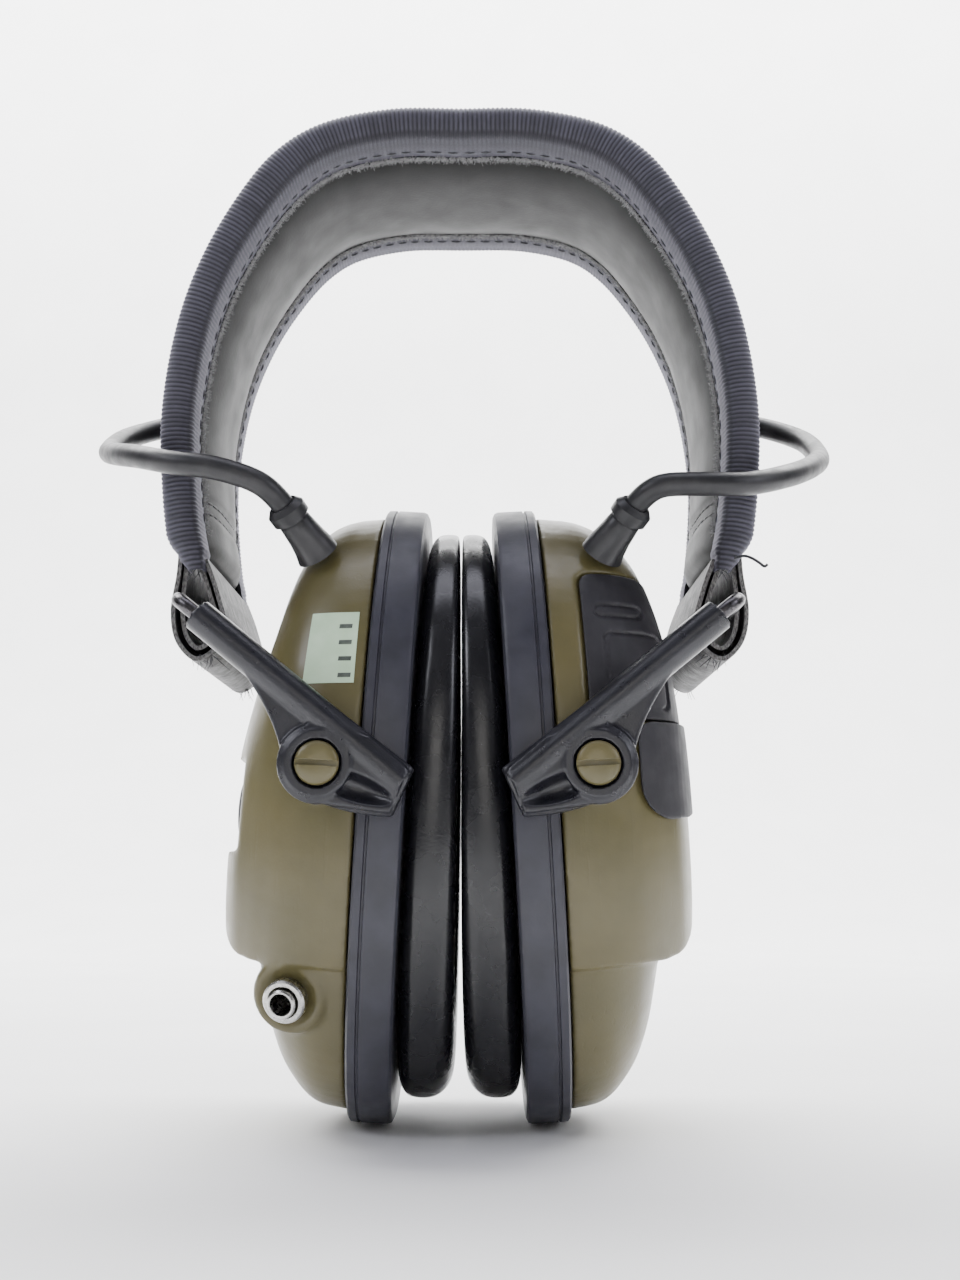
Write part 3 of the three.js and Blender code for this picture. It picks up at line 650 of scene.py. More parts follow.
def band_strip(name, sign, distances, section):
    """A skin along half of the band. It carries a UV map in metres: along the band, round the section."""
    rings = [[band_point(s, *p) for p in section(s)] for s in distances]
    obj = mesh_object(name, *loft(rings), sharp=60, mirror=sign < 0)
    count = len(rings[0])
    uv = obj.data.uv_layers.new(name="UVMap")
    girth = [0.0]
    first = section(distances[len(distances) // 2])
    for a, b in zip(first, [*first[1:], first[0]]):
        girth.append(girth[-1] + math.dist(a, b))
    for polygon in obj.data.polygons:
        columns = [v % count for v in polygon.vertices]
        wraps = max(columns) - min(columns) > 1
        for loop, vertex in zip(polygon.loop_indices, polygon.vertices):
            column = vertex % count
            across = girth[count] if wraps and column == 0 else girth[column]
            uv.data[loop].uv = (distances[vertex // count] * MM, across * MM)
    return obj


def steps(start, end, size):
    count = max(2, round((end - start) / size))
    return [start + (end - start) * i / count for i in range(count + 1)]


def bend_with_band(obj):
    """Bakes a band piece's transform into its mesh; the piece is not bent."""
    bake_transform(obj)


RIB = 0.86
RIB_HEIGHT = 0.2
TAPE_TAPER = 7
EDGE_MIDDLE = (2.4, 23.4)
EDGE_R = 2.65
FLAP_END = 17.0


def rib_wave(s):
    return 0.5 + 0.5 * math.cos(2 * math.pi * s / RIB)


def binding_section(s, front):
    """The tape's closed section: the outside, round the edge and along the flap, then back along its inside."""
    end = min(1.0, max(0.0, (s - (BAND_END - TAPE_TAPER)) / TAPE_TAPER))
    shrink = 1 - 0.55 * end**1.8
    full = 0.55 + 0.75 * math.exp(-(((s - 36) / 17) ** 2)) - 0.35 * end
    wander = 0.25 * noise.noise(Vector((s * 0.055, 3.1 if front else 0, 0)))
    crumple = end * (1.1 + 0.6 * noise.noise(Vector((s * 0.5, 9.0 if front else 5.0, 0))))
    flap_end = FLAP_END + 0.5 * noise.noise(Vector((s * 0.09, 7.7 if front else 4.4, 0)))

    def skin(offset, flat, arc_steps, flap):
        rib = offset * rib_wave(s) if offset > 0 else offset
        points = [(EDGE_MIDDLE[0] - EDGE_R - rib - full, 20 + 3.4 * i / flat) for i in range(flat)]
        for i in range(arc_steps + 1):
            a = math.pi * i / arc_steps
            deep = EDGE_R + rib + (full if a < math.pi / 2 else 0)
            points.append((EDGE_MIDDLE[0] - deep * math.cos(a), EDGE_MIDDLE[1] + (EDGE_R + rib) * math.sin(a)))
        for i in range(1, flap + 1):
            y = EDGE_MIDDLE[1] + (flap_end - EDGE_MIDDLE[1]) * i / flap
            soft = 0.25 if offset > 0 else 1
            points.append((EDGE_MIDDLE[0] + EDGE_R + rib * soft + 0.3 * math.sin(math.pi * i / flap), y))
        return points

    outside = skin(RIB_HEIGHT, 4, 14, 8)
    inside = skin(-0.75, 2, 6, 4)
    centre = (EDGE_MIDDLE[0] + 0.4, EDGE_MIDDLE[1] + 0.2)
    section = []
    for depth, y in [*outside, *reversed(inside)]:
        depth = centre[0] + (depth - centre[0]) * shrink + crumple
        y = centre[1] + (y - centre[1]) * shrink + wander
        section.append((depth, y if front else -y))
    return section


def rib_painted_light(obj, distances, count):
    """How pale each vertex is, as painted light: a painted highlight on a rib's top, painted shade between ribs,
    and painted shade all over on the flap underneath.
    """
    painted_light = obj.data.attributes.new("rib", "FLOAT", "POINT")
    values = []
    for s in distances:
        streak = 0.82 + 0.36 * noise.noise(Vector((s * 0.8, 1.5, 0)))
        for i in range(count):
            # Painted shade: the flap and the inside of the tape are kept dark.
            flap = 1.0 if i < 15 else 0.22
            values.append(max(0.0, min(1.0, rib_wave(s) * flap * streak + 0.04)))
    painted_light.data.foreach_set("value", values)


PAD_SEAMS = (8.6, 10.8)


def pad_section(s):
    """The lining's closed section: flat underneath, softly crowned, thin at its end and along its stitched line."""
    end = max(0.0, (s - (PAD_END - 2.5)) / 2.5)
    full = math.sqrt(max(0.0, 1 - end * end * 0.92))
    seam = sum(0.75 * math.exp(-(((s - (PAD_END - at)) / 0.7) ** 2)) for at in PAD_SEAMS)
    points = []
    for i in range(15):
        y = -16.9 + 33.8 * i / 14
        points.append((3.5, y))
    for i in range(33):
        y = 16.9 - 33.8 * i / 32
        crown = 1 - abs(y / 17.2) ** 3
        puff = 0.18 * noise.noise(Vector((s * 0.05, y * 0.07, 0)))
        crease = 0.07 * noise.noise(Vector((s * 0.35, y * 0.05, 2)))
        depth = 4.6 + 2.55 * crown + puff * crown + crease * crown - seam * crown
        points.append((3.5 + (depth - 3.5) * full, y))
    return points


def cover_section(s):
    """The outer cover's closed section, a little domed."""
    top = [(-0.10 + 0.35 * abs(y / 19.8) ** 4, y) for y in np.linspace(-19.8, 19.8, 25)]
    return top + [(1.2, y) for y in np.linspace(19.8, -19.8, 9)]


def stitch_row(name, sign, start, end, depth, y_of, pitch=3.1, length=2.3, radius=0.22):
    """Separate stitches in a row along the band."""
    verts, faces = [], []
    s = start
    while s + length < end:
        profile = ((0, 0.3), (0.14, 0.85), (0.5, 1), (0.86, 0.85), (1, 0.3))
        rings = []
        for share, girth in profile:
            at = s + length * share
            sink = 0.22 * (2 * share - 1) ** 2
            centre = band_point(at, depth - sink, y_of(at))
            out = (band_point(at, depth + 1, y_of(at)) - centre).normalized()
            side = Vector((0, 1, 0))
            rings.append([
                centre + (out * math.cos(a) + side * math.sin(a)) * radius * girth
                for a in (2 * math.pi * k / 7 for k in range(7))
            ])
        new_verts, new_faces = loft(rings)
        faces += [tuple(i + len(verts) for i in f) for f in new_faces]
        verts += new_verts
        s += pitch
    return mesh_object(name, verts, faces, mirror=sign < 0)


def hairs(name, sign, places, length, radius):
    """Short fine fibres. Each place gives a root, the way it points and a droop."""
    verts, faces = [], []
    for root, way, droop in places:
        across = way.orthogonal().normalized()
        up = way.cross(across)
        reach = length * random.uniform(0.5, 1.2)
        rings = []
        for share in (0, 0.5, 1):
            centre = root + way * reach * share + droop * share * share
            r = radius * (1 - 0.6 * share)
            rings.append([
                centre + (across * math.cos(a) + up * math.sin(a)) * r
                for a in (0, 2.094, 4.189)
            ])
        new_verts, new_faces = loft(rings)
        faces += [tuple(i + len(verts) for i in f) for f in new_faces]
        verts += new_verts
    return mesh_object(name, verts, faces, mirror=sign < 0)


def any_way():
    return Vector([random.gauss(0, 1) for _ in range(3)]).normalized()


def make_headband(side, sign):
    for edge, front in (("rear", False), ("front", True)):
        section = lambda s, front=front: binding_section(s, front)
        distances = steps(0, BAND_END, RIB / 6)
        tape = band_strip(f"tape_{edge}_{side}", sign, distances, section)
        # Painted highlights on the rib tops and painted shade between ribs and on the flap, kept in a vertex
        # attribute.
        rib_painted_light(tape, distances, len(section(0)))
        own = [f"binding_{edge}_{side}"] + ([f"crown_binding_{edge}"] if sign > 0 else [])
        finish_piece(tape, "webbing", "webbing", None, *own)
        bend_with_band(tape)
        face = 1 if front else -1
        row = stitch_row(
            f"tape_stitches_{edge}_{side}", sign, 0.4, BAND_END - 9, EDGE_THICK + 0.62,
            lambda s, face=face: face * (19.2 + 0.3 * noise.noise(Vector((s * 0.09, 4.4, 0)))),
        )
        finish_piece(row, "stitch", "webbing", None)
        bend_with_band(row)
        places = []
        for _ in range(3600):
            s = random.uniform(0, PAD_END - 4)
            root = band_point(s, EDGE_THICK + 0.55, face * (FLAP_END - random.uniform(-0.2, 1.1)))
            lift = (band_point(s, 10, 0) - band_point(s, 0, 0)).normalized()
            way = (any_way() + lift * 0.45 - Vector((0, face * 0.3, 0))).normalized()
            places.append((root, way, any_way() * 0.25))
        fuzz = hairs(f"fuzz_{edge}_{side}", sign, places, 0.75, 0.06)
        finish_piece(fuzz, "fuzz", "webbing", None)
        bend_with_band(fuzz)

    pad = band_strip(f"lining_{side}", sign, steps(0, PAD_END, 1.0), pad_section)
    finish_piece(pad, "lining", "leatherette", None, f"band_pad_{side}", *(["crown_pad"] if sign > 0 else []))
    bend_with_band(pad)
    verts, faces = [], []
    for at in PAD_SEAMS:
        s = PAD_END - at
        for y in np.arange(-14.6, 14, 2.9):
            rings = []
            for share, girth in ((0, 0.3), (0.15, 0.9), (0.5, 1), (0.85, 0.9), (1, 0.3)):
                here = y + 2.2 * share
                depth = 3.5 + (1.1 + 2.55 * (1 - abs(here / 17.2) ** 3)) - 0.62 * (1 - abs(here / 17.2) ** 3) + 0.12
                centre = band_point(s, depth, here)
                out = (band_point(s, depth + 1, here) - centre).normalized()
                along = (band_point(s + 1, depth, here) - centre).normalized()
                rings.append([
                    centre + (out * math.cos(a) + along * math.sin(a)) * 0.24 * girth
                    for a in (2 * math.pi * k / 7 for k in range(7))
                ])
            new_verts, new_faces = loft(rings)
            faces += [tuple(i + len(verts) for i in f) for f in new_faces]
            verts += new_verts
    row = mesh_object(f"lining_stitches_{side}", verts, faces, mirror=sign < 0)
    finish_piece(row, "stitch", "webbing", f"band_{side}")
    cover = band_strip(f"cover_{side}", sign, steps(0, BAND_END - 3, 1.2), cover_section)
    own = [f"band_cover_{side}"] + (["crown_cover"] if sign > 0 else [])
    finish_piece(cover, "cover", "headband_fabric", None, *own)
    bend_with_band(cover)


# ---------------------------------------------------------------- strap end and wire
def strap_layer(points, thickness, half, wave):
    """One layer of the folded strap, as closed rings across its width."""
    route = Route(catmull_rom([Vector((x, 0, z)) for x, z in points]))
    rings = []
    for s in steps(0, route.length, 0.6):
        p, t = route.at(s), route.way(s)
        out = Vector((t.z, 0, -t.x))
        ripple = 0.25 * noise.noise(Vector((s * 0.12, wave, 0)))
        ring = []
        for y in np.linspace(-half, half, 13):
            ring.append(p + out * (thickness / 2 + ripple) + Vector((0, y + 0.4 * ripple, 0)))
        for y in np.linspace(half, -half, 13):
            ring.append(p + out * (ripple - thickness / 2) + Vector((0, y + 0.4 * ripple, 0)))
        rings.append(ring)
    return rings


OUTER_STRAP = [
    (50.1, -76.4), (50.5, -81.5), (51.0, -88.0), (49.9, -93.6), (46.7, -96.4),
    (43.3, -94.4), (42.1, -89.6), (43.6, -84.0), (45.6, -78.4),
]
INNER_STRAP = [
    (49.0, -78.0), (49.3, -82.6), (49.6, -88.2), (48.7, -92.4), (46.7, -94.4),
    (44.5, -93.0), (43.5, -89.4), (44.8, -84.6), (46.4, -80.0),
]


def make_strap(side, sign):
    pieces = []
    for layer, (points, half) in enumerate(((OUTER_STRAP, 22.5), (INNER_STRAP, 21.8))):
        rings = strap_layer(points, 0.8, half, 2.0 * layer)
        pieces.append(mesh_object(f"layer_{layer}", *loft(rings), mirror=sign < 0))
    strap = joined(f"strap_{side}", pieces)
    finish_piece(strap, ("leather", "edge"), "strap_leather", f"band_{side}", f"end_loop_{side}")
    for polygon in strap.data.polygons:
        polygon.material_index = 1 if abs(polygon.normal.y) > 0.7 else 0
    places = []
    for _ in range(26):
        y = random.choice((-1, 1)) * random.uniform(20.5, 22.3)
        root = Vector((random.uniform(43.5, 47.5), y, -95.2 - random.uniform(0, 1)))
        places.append((root, (Vector((-0.3, 0, -1)) + any_way() * 0.6).normalized(), any_way()))
    for _ in range(24):
        y = random.choice((-1, 1)) * random.uniform(21.5, 24.5)
        root = band_point(BAND_END - random.uniform(0, 1.2), random.uniform(3, 5), y)
        places.append((root, (Vector((0.1, 0, -1)) + any_way() * 0.7).normalized(), any_way() * 0.6))
    finish_piece(hairs(f"frays_{side}", sign, places, 2.6, 0.11), "stitch", "webbing", f"band_{side}")
    if sign > 0:
        loose = Route(catmull_rom([
            Vector(p) for p in ((48.6, -24.8, -78.8), (50.4, -26, -78.6), (51.6, -26.4, -79.1),
                                (52.9, -26.6, -80.0), (53.8, -26.4, -80.6), (54.3, -26.3, -80.2))
        ]))
        end = tube(f"loose_thread_{side}", [loose.at(s) for s in steps(0, loose.length, 0.3)], 0.27, 8)
        finish_piece(end, "stitch", "webbing", f"band_{side}")


LEG_WAY = Vector((-math.cos(LEG_ANGLE), 0, -math.sin(LEG_ANGLE)))


def along_leg(distance, y):
    return Vector((WIRE[0], y, WIRE[1])) + LEG_WAY * distance


def make_wire(side, sign):
    points = []
    for distance in np.linspace(LEG_LENGTH, BEND_R, 30):
        points.append(along_leg(distance, -LEG_Y))
    for i in range(1, 13):
        a = math.pi / 2 * i / 12
        points.append(along_leg(BEND_R * (1 - math.sin(a)), -LEG_Y + BEND_R * (1 - math.cos(a))))
    points += [along_leg(0, y) for y in np.linspace(-LEG_Y + BEND_R, LEG_Y - BEND_R, 42)[1:-1]]
    points += [Vector((p.x, -p.y, p.z)) for p in reversed(points[:42])]
    wire = tube(f"wire_{side}", points, WIRE_R, 20, mirror=sign < 0)
    finish_piece(wire, "wire", "bail_wire", f"bail_{side}", f"wire_bail_{side}")


# ---------------------------------------------------------------- arms
def arc(centre, radius, start, end, count):
    """Points on an arc, angles in degrees."""
    points = []
    for i in range(count + 1):
        a = math.radians(start + (end - start) * i / count)
        points.append((centre[0] + radius * math.cos(a), centre[1] + radius * math.sin(a)))
    return points


def quadratic(a, b, c, count):
    points = []
    for i in range(1, count + 1):
        t = i / count
        points.append(tuple((1 - t) ** 2 * a[k] + 2 * t * (1 - t) * b[k] + t * t * c[k] for k in (0, 1)))
    return points


ARM_TOP, NOSE_TOP, NOSE_LOW = (41.6, -90.6), (7.1, -117.2), (10.6, -125)


def arm_outline():
    points = [ARM_TOP, NOSE_TOP, NOSE_LOW]
    points += quadratic(NOSE_LOW, (21, -124.6), (26.4, -120.2), 8)
    points += quadratic((26.4, -120.2), (28, -117), (29.2, -112.5), 6)
    return points + quadratic((29.2, -112.5), (32, -103.5), (43, -92.4), 10)


def capsule(name, start, end, radius, sides=32):
    way = (end - start).normalized()
    length = (end - start).length
    rows = []
    for i in range(7):
        a = math.pi / 2 * i / 6
        rows.append((radius * 0.3 * (1 - math.sin(a)), radius * (0.72 + 0.28 * math.sin(a))))
    rows += [(length - d, r) for d, r in reversed(rows)]
    return lathe(name, rows, start, way, sides)


def make_rear_arm():
    """The rear arm of the right side; the other three are its reflections."""
    arm = prism("arm", arm_outline(), -ARM_INNER, -ARM_INNER - ARM_WEB, "y")
    start, end = along_leg(4.5, -LEG_Y), along_leg(49, -LEG_Y)
    boolean(arm, capsule("tube", start, end, TUBE_R), "UNION")
    rim = [*arc(PIVOT, BOSS_R + 0.75, -98, 108, 20), (14.2, -112.2), (8.0, -117.4), (10.9, -124.5)]
    boolean(arm, prism("rim", rim, -ARM_INNER - 2, -ARM_INNER - ARM_WEB - 0.85, "y"), "UNION")
    centre = Vector((PIVOT[0], 0, PIVOT[1]))
    down = Vector((0, -1, 0))
    boss = [(ARM_INNER + 0.5, BOSS_R), (BOSS_FACE - 0.35, BOSS_R), (BOSS_FACE, BOSS_R - 0.4)]
    boolean(arm, lathe("boss", boss, centre, down), "UNION")
    drop = [(5.4 * math.cos(a) - 0.8 * math.cos(2 * a), 2.15 * math.sin(a)) for a in
            np.linspace(0, 2 * math.pi, 32, endpoint=False)]
    tilt = math.radians(19)
    rings = []
    for depth, size in ((-45.5, 1.35), (-42.9, 1.12), (-42.2, 0.95), (-41.4, 0.76), (-40.7, 0.5), (-40.4, 0.2)):
        rings.append([
            (16.2 + size * (x * math.cos(tilt) - z * math.sin(tilt)), depth,
             -120.5 + size * (x * math.sin(tilt) + z * math.cos(tilt)))
            for x, z in drop
        ])
    boolean(arm, mesh_object("scoop", *loft(rings)), "DIFFERENCE")
    ring = [(ARM_INNER + 3.2, BOSS_R - 0.2), (BOSS_FACE - 0.3, BOSS_R - 0.2), (BOSS_FACE, BOSS_R - 0.5)]
    boolean(arm, lathe("ring", ring, centre, down), "UNION")
    seat = [(BOSS_FACE - 1.3, 3.95), (BOSS_FACE + 2, 3.95)]
    boolean(arm, lathe("seat", seat, centre, down), "DIFFERENCE")
    boolean(arm, lathe("hole", [(ARM_INNER - 2, 2.3), (BOSS_FACE + 2, 2.3)], centre, down), "DIFFERENCE")
    bore = [(0, WIRE_R + 0.3), (45, WIRE_R + 0.3)]
    boolean(arm, lathe("bore", bore, along_leg(1.5, -LEG_Y), LEG_WAY, 24), "DIFFERENCE")
    return soften(arm, 0.30, 3)


def reflected(obj, name, flip):
    """A copy of a piece, reflected by -1 in each wanted axis."""
    copy = bpy.data.objects.new(name, obj.data.copy())
    scene.collection.objects.link(copy)
    copy.data.transform(Matrix.Diagonal((*flip, 1)))
    if flip[0] * flip[1] * flip[2] < 0:
        copy.data.flip_normals()
    return copy


def make_arms():
    rear = make_rear_arm()
    for side, sign in SIDES.items():
        for edge, face in (("rear", 1), ("front", -1)):
            arm = reflected(rear, f"arm_{edge}_shape_{side}", (sign, face, 1))
            finish_piece(arm, "arm", "black_plastic", f"arms_{side}", f"arm_{edge}_{side}")
    bpy.data.objects.remove(rear)


# ---------------------------------------------------------------- cups
def smooth_levels(levels, count=26):
    """The shell's levels, with a smooth curve through them."""
    rows = []
    for p in catmull_rom([Vector(level) for level in levels], max(2, count // len(levels))):
        rows.append(tuple(p))
    return rows


def level_loft(name, levels, grow=0.0, sides=96, mirror=False):
    rings = []
    for i, (x, top, bottom, half) in enumerate(smooth_levels(levels)):
        outline = oval(half + grow, (top - bottom) / 2 + grow, sides, 2.4, (top + bottom) / 2)
        rings.append([(x + (grow if i else 0), y, z) for y, z in outline])
    return mesh_object(name, *loft(rings), mirror=mirror)


def upper_levels(right):
    if not right:
        return UPPER_LEVELS
    return [(x, top, bottom, half) for (x, _, bottom, half), top in zip(UPPER_LEVELS, HOUSING_TOPS)]


def through_cup(name, outline, mirror):
    """A solid that runs right through the cup along y, from an outline in (x, z)."""
    return prism(name, outline, -60, 60, "y", mirror=mirror)


def above_ledge(drop, mirror):
    floor = catmull_rom([Vector((x, 0, z)) for x, z in LEDGE[1:]], 6)
    outline = [LEDGE[0], *((p.x, p.z) for p in floor), (60, -17), (60, 80), (-3, 80)]
    outline = [(x, z - drop if z < 70 else z) for x, z in outline]
    return through_cup("above_ledge", outline, mirror)


def outer_form(right, grow=0.0):
    mirror = not right
    upper = level_loft("upper", upper_levels(right), grow, mirror=mirror)
    boolean(upper, above_ledge(grow, mirror), "INTERSECT")
    return boolean(upper, level_loft("lower", LOWER_LEVELS, grow, mirror=mirror), "UNION")


def inner_form(right):
    mirror = not right

    def shrunk(levels, limit):
        wall = WALL_UNDER_PANEL if right else WALL
        kept = [(x, top - wall, bottom + wall, half - wall) for x, top, bottom, half in levels if x < limit]
        return [(-2, *kept[0][1:]), *kept[1:]]

    upper = level_loft("upper_inside", shrunk(upper_levels(right), 18.5 if mirror else 16), mirror=mirror)
    boolean(upper, above_ledge(-WALL, mirror), "INTERSECT")
    lower = level_loft("lower_inside", shrunk(LOWER_LEVELS, 14.5), mirror=mirror)
    return boolean(upper, lower, "UNION")


def box_object(name, low, high, mirror=False):
    outline = [(low[1], low[2]), (high[1], low[2]), (high[1], high[2]), (low[1], high[2])]
    return prism(name, outline, low[0], high[0], "x", mirror=mirror)


def round_rect(y0, y1, z0, z1, r, count=6):
    points = []
    for cy, cz, start in ((y1 - r, z1 - r, 0), (y0 + r, z1 - r, 90), (y0 + r, z0 + r, 180), (y1 - r, z0 + r, 270)):
        points += arc((cy, cz), r, start, start + 90, count)
    return points


def panel_skin(back, front, margin):
    """A skin that follows the right-hand shell where the battery panel lies."""
    skin = outer_form(True, front)
    boolean(skin, outer_form(True, back), "DIFFERENCE")
    x, low, high = PANEL["inner"] - margin, PANEL["low"] - margin, PANEL["high"] + margin
    corner = arc((x + 2.2, high - 2.2), 2.2, 180, 90, 6)
    return boolean(skin, through_cup("region", [(x, low), *corner, (60, high), (60, low)], False), "INTERSECT")


def make_shell(side, sign):
    right = sign > 0
    mirror = not right
    shell = outer_form(right)
    boolean(shell, inner_form(right), "DIFFERENCE")
    if right:
        boolean(shell, panel_skin(PANEL["seat"], 3, GAP), "DIFFERENCE")
    else:
        low = KNOB_Z - 8
        groove = prism("groove", round_rect(-40, 40, low, low + 16, 1.2), GROOVE_X, 40, "x", mirror=True)
        boolean(shell, groove, "DIFFERENCE")
    flip = Vector((sign, 1, 1))
    for face in (-1, 1):
        centre = Vector((PIVOT_LOCAL[0], 0, PIVOT_LOCAL[1])) * flip
        way = (0, face, 0)
        boolean(shell, lathe("boss", [(29, 5.2), (37.4, 5.2), (37.8, 4.8)], centre, way), "UNION")
        boolean(shell, lathe("hole", [(28, 2.3), (40, 2.3)], centre, way), "DIFFERENCE")
    mic = Vector((MIC[0], 0, MIC[1])) * flip
    boolean(shell, lathe("mic_boss", [(27, 6.6), (33.4, 5.9), (34.6, 5.4)], mic, (0, 1, 0)), "UNION")
    boolean(shell, lathe("mic_hole", [(26, 3.3), (37, 3.3)], mic, (0, 1, 0)), "DIFFERENCE")
    if right:
        boolean(shell, box_object("cell_bay", (9, -22.8, 11.5), (40, 22.8, 32.6)), "DIFFERENCE")
    else:
        at, way = JACK_AT * flip, JACK_WAY * flip
        boss = [(-6, 7.4), (-1.2, 6.6), (-0.4, 6.3), (0, 5.8)]
        boolean(shell, lathe("jack_boss", boss, at, way), "UNION")
        boolean(shell, lathe("jack_dish", [(-0.7, 4.6), (0.1, 4.9), (3, 5)], at, way), "DIFFERENCE")
        boolean(shell, lathe("jack_hole", [(-12, 2.8), (3, 2.8)], at, way), "DIFFERENCE")
        pot = Vector((-15, 0, KNOB_Z))
        boolean(shell, lathe("pot_hole", [(0, 3.4), (8.5, 3.4)], pot, (-1, 0, 0)), "DIFFERENCE")
    for x in (5.2,):
        half = (36.4, 55.8)
        rings = [[(x + d, *p) for p in oval(half[0] + o, half[1] + o, 96)] for d, o in ((-0.22, 3), (0.22, 3))]
        line_out = mesh_object("seam_out", *loft(rings), mirror=mirror)
        rings = [[(x + d, *p) for p in oval(36.0 - 0.9, 54.75 - 0.9, 96, 2.4, 0.1)] for d in (-1, 1)]
        boolean(line_out, mesh_object("seam_in", *loft(rings), mirror=mirror), "DIFFERENCE")
        boolean(shell, line_out, "DIFFERENCE")
    keep = box_object("keep", (GAP, -60, -80), (60, 60, 80), mirror)
    boolean(shell, keep, "INTERSECT")
    shell.name = f"shell_{side}"
    soften(shell, 0.55, 4)
    shell.matrix_world = cup_matrix(sign)
    finish_piece(shell, "olive", "olive_plastic", f"cup_{side}", f"cup_shell_{side}")
    return shell


def make_plate(side, sign):
    """The base plate: a rounded oval frame with a shallow step line round its side."""
    profile = [
        (-0.1, -3.0), (0, -0.5), (-0.35, -0.08), (-1.6, 0), (-1.75, -0.35), (-2.05, -0.35), (-2.2, 0),
        (-6.7, 0), (-7.35, -0.25), (-7.7, -0.95), (-7.7, -4),
    ]
    count = 160
    outer = oval(*PLATE_HALF, count)
    inner = oval(*EAR_HALF, count)
    rings = []
    for i in range(count):
        before, after = Vector(outer[i - 1]), Vector(outer[(i + 1) % count])
        tangent = (after - before).normalized()
        normal = Vector((tangent.y, -tangent.x))
        ring = []
        for x, offset in profile:
            p = Vector(outer[i]) + normal * offset
            ring.append((x, p.x, p.y))
        for x in (-7.7, -7.2, -0.6, -0.1):
            widen = 0.5 if x in (-7.7, -0.1) else 0
            p = Vector(inner[i]) * (1 + widen / 30)
            ring.append((x, p.x, p.y))
        rings.append(ring)
    plate = mesh_object(f"plate_{side}", *loft(rings, closed=True), sharp=25, mirror=sign < 0)
    plate.matrix_world = cup_matrix(sign)
    finish_piece(plate, "plate", "black_plastic", f"cup_{side}", f"base_plate_{side}")


def make_cushion(side, sign):
    """A stuffed ring: blown up as cloth, then pressed against the other one where they meet."""
    base = -PLATE_THICK - GAP
    count = 132
    around = 30
    outline = [Vector(p) for p in oval(27.4, 44.3, count, 2.3, 0.4)]
    rings = []
    for i, p in enumerate(outline):
        tangent = (outline[(i + 1) % count] - outline[i - 1]).normalized()
        normal = Vector((tangent.y, -tangent.x))
        half = 7.3 + 0.9 * abs(p.y) / 44.3
        ring = []
        for k in range(around):
            a = 2 * math.pi * k / around
            c, s = math.cos(a), math.sin(a)
            out = math.copysign(abs(c) ** (0.8 if s > 0 else 0.6), c) * half
            rise = 4.4 + (abs(s) ** 0.85 * 5.9 if s > 0 else -(abs(s) ** 0.6) * 4.4)
            q = p + normal * out
            ring.append((base - rise, q.x, q.y))
        rings.append(ring)
    obj = mesh_object(f"cushion_skin_{side}", *loft(rings, closed=True), sharp=180, mirror=sign < 0)
    matrix = cup_matrix(sign)
    before = np.array([v.co for v in obj.data.vertices])
    pin = obj.vertex_groups.new(name="pin")
    held = [i for i, co in enumerate(before) if abs(co[0]) < abs(base - 1.3) * MM]
    pin.add(held, 1.0, "REPLACE")
    cloth = obj.modifiers.new("cloth", "CLOTH")
    cloth.settings.use_pressure = True
    cloth.settings.uniform_pressure_force = 4
    cloth.settings.vertex_group_mass = "pin"
    cloth.settings.effector_weights.gravity = 0
    cloth.settings.quality = 5
    cloth.point_cache.frame_start, cloth.point_cache.frame_end = 1, 20
    for number in range(1, 21):
        scene.frame_set(number)
    apply_modifiers(obj)
    scene.frame_set(1)
    after = np.array([v.co for v in obj.data.vertices])
    moved = after - before
    size = np.linalg.norm(moved, axis=1, keepdims=True)
    after = before + moved * np.minimum(1, 1.2 * MM / np.maximum(size, 1e-9))
    obj.data.vertices.foreach_set("co", after.ravel())
    obj.vertex_groups.clear()
    fine = obj.modifiers.new("fine", "SUBSURF")
    fine.levels = fine.render_levels = 1
    even = obj.modifiers.new("even", "SMOOTH")
    even.iterations = 4
    apply_modifiers(obj)
    inverse = matrix.inverted()
    for v in obj.data.vertices:
        local = v.co / MM
        out = sign * local.x
        wrinkle = noise.noise(Vector((out * 0.10, local.y * 0.22, local.z * 0.10)))
        near_base = math.exp(-(((out - base + 2.2) / 2.4) ** 2))
        v.co.x += sign * wrinkle * near_base * 0.2 * MM
        lean = matrix @ v.co
        meeting = 0.45 * noise.noise(Vector((5.5, lean.y * 25, lean.z * 18)))
        depth = sign * (lean.x / MM - meeting) - CUSHION_GAP
        if depth < 1.6:
            depth = 1.6 * math.exp(depth / 1.6 - 1) if depth > -4 else 0.0
        lean.x = (sign * (depth + CUSHION_GAP) + meeting) * MM
        v.co = inverse @ lean
        v.co.x = sign * min(sign * v.co.x, base * MM)
    smooth(obj, 180)
    obj.matrix_world = matrix
    finish_piece(obj, "skin", "leatherette", f"cup_{side}", f"cushion_{side}")


def make_foam(side, sign):
    """The foam over the speaker, softly crowned."""
    rings = []
    for share in (1.0, 0.985, 0.93, 0.8, 0.6, 0.4, 0.2, 0.04):
        x = -6.0 - 0.75 * (1 - share**4)
        rings.append([(x, *p) for p in oval(18.8 * share, 34.2 * share, 72)])
    back = [[(-3.45, *p) for p in oval(18.8 * share, 34.2 * share, 72)] for share in (0.04, 0.5, 0.97, 1.0)]
    foam = mesh_object(f"ear_foam_{side}", *loft(back + rings), sharp=50, mirror=sign < 0)
    foam.matrix_world = cup_matrix(sign)
    finish_piece(foam, "foam", "open_foam", f"cup_{side}", f"acoustic_foam_{side}")


